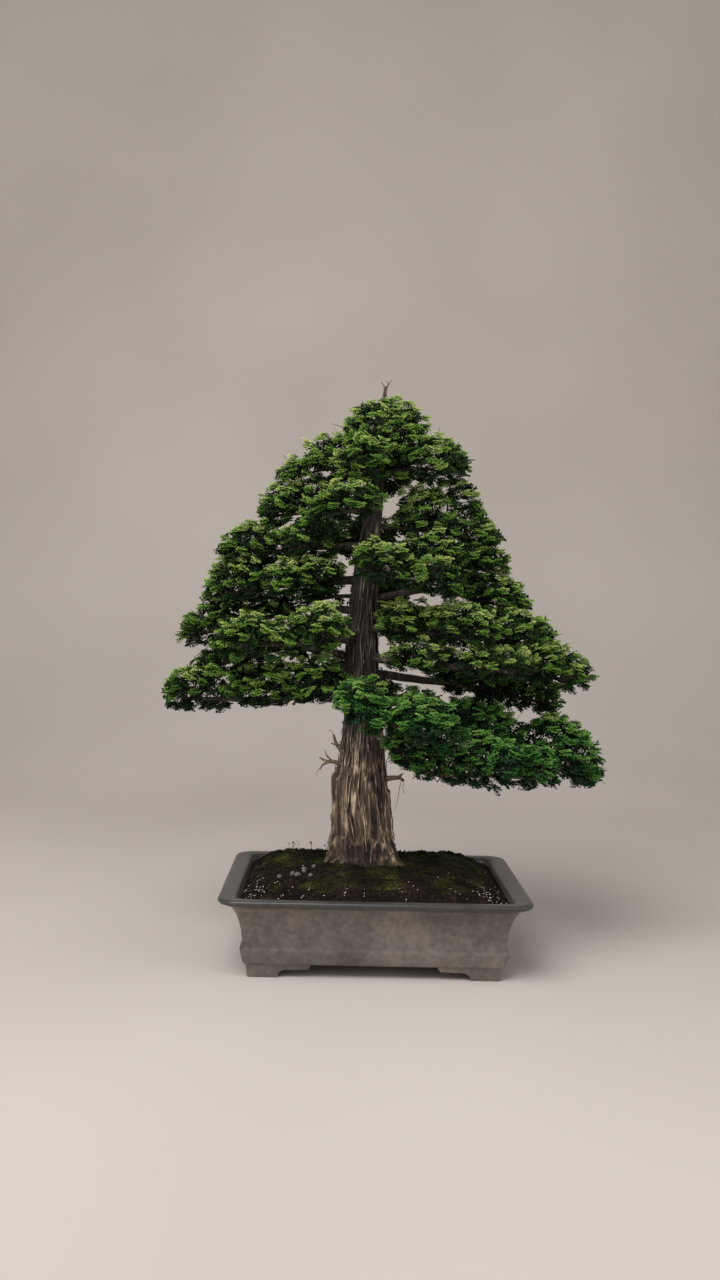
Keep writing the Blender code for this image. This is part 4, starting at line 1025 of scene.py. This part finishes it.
def leaf_surface(name, deep, bright):
    """Waxy scale leaves, coloured by a map: how sunlit the fan is, and how near a scale is to its tip."""
    mat = surface(name)
    spot = add(mat, "ShaderNodeUVMap", uv_map="palette").outputs["UV"]
    parts = add(mat, "ShaderNodeSeparateXYZ", {0: spot})
    inside = add(mat, "ShaderNodeValToRGB", {"Fac": parts.outputs["X"]}, stops=deep)
    tip = add(mat, "ShaderNodeValToRGB", {"Fac": parts.outputs["X"]}, stops=bright)
    reach = add(mat, "ShaderNodeMapRange", {"Value": parts.outputs["Y"], "From Min": 0.35, "From Max": 0.95},
                interpolation_type="SMOOTHSTEP")
    colour = add(mat, "ShaderNodeMix", {0: reach.outputs["Result"], 6: inside.outputs["Color"],
                                        7: tip.outputs["Color"]}, data_type="RGBA")
    wax = add(mat, "ShaderNodeMapRange", {"Value": parts.outputs["X"], "To Min": 0.70, "To Max": 0.48})
    finish(mat, {"Base Color": colour.outputs[2], "Roughness": wax.outputs["Result"], "IOR": 1.42,
                 "Specular IOR Level": 0.35})
    return mat


# a lit copy of the leaves, and a bluer copy with painted shade for the low masses at the front and right
sunlit = leaf_surface("cypress_leaves_sunlit",
                      [(0.0, "#081107"), (1.0, "#588a33"), (0.35, "#14290f"), (0.68, "#2c5c1e")],
                      [(0.0, "#0e1c0b"), (1.0, "#e0ee92"), (0.35, "#285018"), (0.66, "#86b546")])
shaded = leaf_surface("cypress_leaves_shaded",
                      [(0.0, "#091408"), (1.0, "#51903c"), (0.35, "#18341a"), (0.68, "#2f6a2c")],
                      [(0.0, "#0e1f10"), (1.0, "#bcdb78"), (0.35, "#296027"), (0.66, "#6fae47")])
# how light each mass is, partly painted light and shade, how far its edge hangs, and which leaves it has
MASSES = {
    "left_low": (0.40, 0.25, sunlit), "front_low": (0.46, 0.35, shaded), "right_low": (0.45, 0.40, shaded),
    "right_low_front": (0.41, 0.40, shaded), "left_mid_back": (0.26, 0.20, sunlit), "left_mid": (0.56, 0.15, sunlit),
    "left_mid_high": (0.50, 0.15, sunlit), "left_thin": (0.30, 0.15, sunlit), "left_upper": (0.50, 0.15, sunlit),
    "left_high": (0.42, 0.15, sunlit), "left_crown": (0.48, 0.15, sunlit), "right_crown": (0.52, 0.15, sunlit),
    "right_high": (0.46, 0.15, sunlit), "right_upper": (0.46, 0.15, sunlit), "right_mid_high": (0.55, 0.20, sunlit),
    "right_mid": (0.52, 0.20, sunlit), "right_mid_back": (0.34, 0.25, sunlit), "front_mid": (0.46, 0.20, sunlit),
    "front_high": (0.46, 0.15, sunlit), "back_low": (0.42, 0.25, sunlit), "back_left": (0.42, 0.20, sunlit),
    "back_right": (0.42, 0.20, sunlit), "back_mid": (0.42, 0.20, sunlit), "back_high": (0.44, 0.15, sunlit),
    "crown": (0.53, 0.10, sunlit),
}
rng = np.random.default_rng(3)
fans = [fan(rng) for _ in range(FAN_KINDS)]
fans += [fan(rng, 1, 1.8) for _ in range(3)]  # plainer and broader ones for the inside
for number, (name, (tone, droop, leaves)) in enumerate(MASSES.items()):
    rng = np.random.default_rng(300 + number)
    node_name = f"foliage_{name}"
    corners, faces, maps = foliage_mass(node_name, routes if name == "crown" else [limb_routes[name]],
                                        tone, rng, droop)
    # a link has four corners and four faces, so a large mass is cut between two links
    for first in range(0, len(faces), PIECE_FACES):
        share = slice(first, first + PIECE_FACES)
        mesh = triangle_mesh(node_name, corners[share], faces[share] - first, maps[share])
        piece(f"{node_name}_fans_{first // PIECE_FACES}", mesh, leaves,
              [] if first else [node_name], smooth=False)

# ======================================================================== floor, light and camera
# A plain pale studio sweep, one broad soft light high in front, a weaker one to the side.
sweep = surface("pale_studio_paper")
place = add(sweep, "ShaderNodeTexCoord").outputs["Object"]
tint = add(sweep, "ShaderNodeTexNoise", {"Vector": place, "Scale": 0.8, "Detail": 2.0})
tone = add(sweep, "ShaderNodeValToRGB", {"Fac": tint.outputs["Fac"]}, stops=[(0.3, "#bfb7b0"), (0.7, "#cfc7c0")])
finish(sweep, {"Base Color": tone.outputs["Color"], "Roughness": 0.9})
profile = [(-4.0, 0.0), (1.2, 0.0)] + [(1.2 + 1.4 * math.sin(t), 1.4 - 1.4 * math.cos(t))
                                       for t in np.linspace(0.1, math.pi / 2, 14)] + [(2.6, 5.0)]
bm = bmesh.new()
rows = [[bm.verts.new((x, y, z)) for x in (-6.0, 6.0)] for y, z in profile]
for low, high in zip(rows, rows[1:]):
    bm.faces.new((low[0], low[1], high[1], high[0]))
mesh = bpy.data.meshes.new("studio_sweep")
bm.to_mesh(mesh)
bm.free()
mesh.materials.append(sweep)
mesh.shade_smooth()
floor = bpy.data.objects.new("studio_sweep", mesh)
bpy.context.scene.collection.objects.link(floor)

for name, spot, aim, size, power in (("high_softbox", (-0.9, -1.5, 2.6), (0, 0, 0.45), 1.8, 72.0),
                                     ("side_softbox", (2.2, -1.4, 1.2), (0, 0, 0.5), 1.6, 16.0),
                                     ("low_fill", (-1.8, -2.0, 0.5), (0, 0, 0.35), 1.6, 12.0)):
    lamp = bpy.data.lights.new(name, "AREA")
    lamp.size, lamp.energy = size, power
    holder = bpy.data.objects.new(name, lamp)
    holder.location = spot
    holder.rotation_euler = (Vector(aim) - Vector(spot)).to_track_quat("-Z", "Y").to_euler()
    bpy.context.scene.collection.objects.link(holder)
world = bpy.data.worlds.new("studio")
world.use_nodes = True
world.node_tree.nodes["Background"].inputs["Color"].default_value = linear("#cfcac6")
world.node_tree.nodes["Background"].inputs["Strength"].default_value = 0.55
bpy.context.scene.world = world
bpy.context.scene.view_settings.view_transform = "Standard"

CAMERA_PLACE = Vector((-0.0621, -1.7696, 0.549)) + PLANT_SHIFT
YAW, PITCH, ROLL = 0.0175, 0.0241, 0.0246
lens = bpy.data.cameras.new("camera")
lens.lens, lens.sensor_width = 30.84, 36.0
camera = bpy.data.objects.new("camera", lens)
forward = Vector((math.sin(YAW) * math.cos(PITCH), math.cos(YAW) * math.cos(PITCH), -math.sin(PITCH)))
right = Vector((math.cos(YAW), -math.sin(YAW), 0.0))
up = right.cross(forward)
level = math.cos(ROLL) * right + math.sin(ROLL) * up
upright = -math.sin(ROLL) * right + math.cos(ROLL) * up
camera.matrix_world = Matrix.Translation(CAMERA_PLACE) @ Matrix((level, upright, -forward)).transposed().to_4x4()
bpy.context.scene.collection.objects.link(camera)
bpy.context.scene.camera = camera
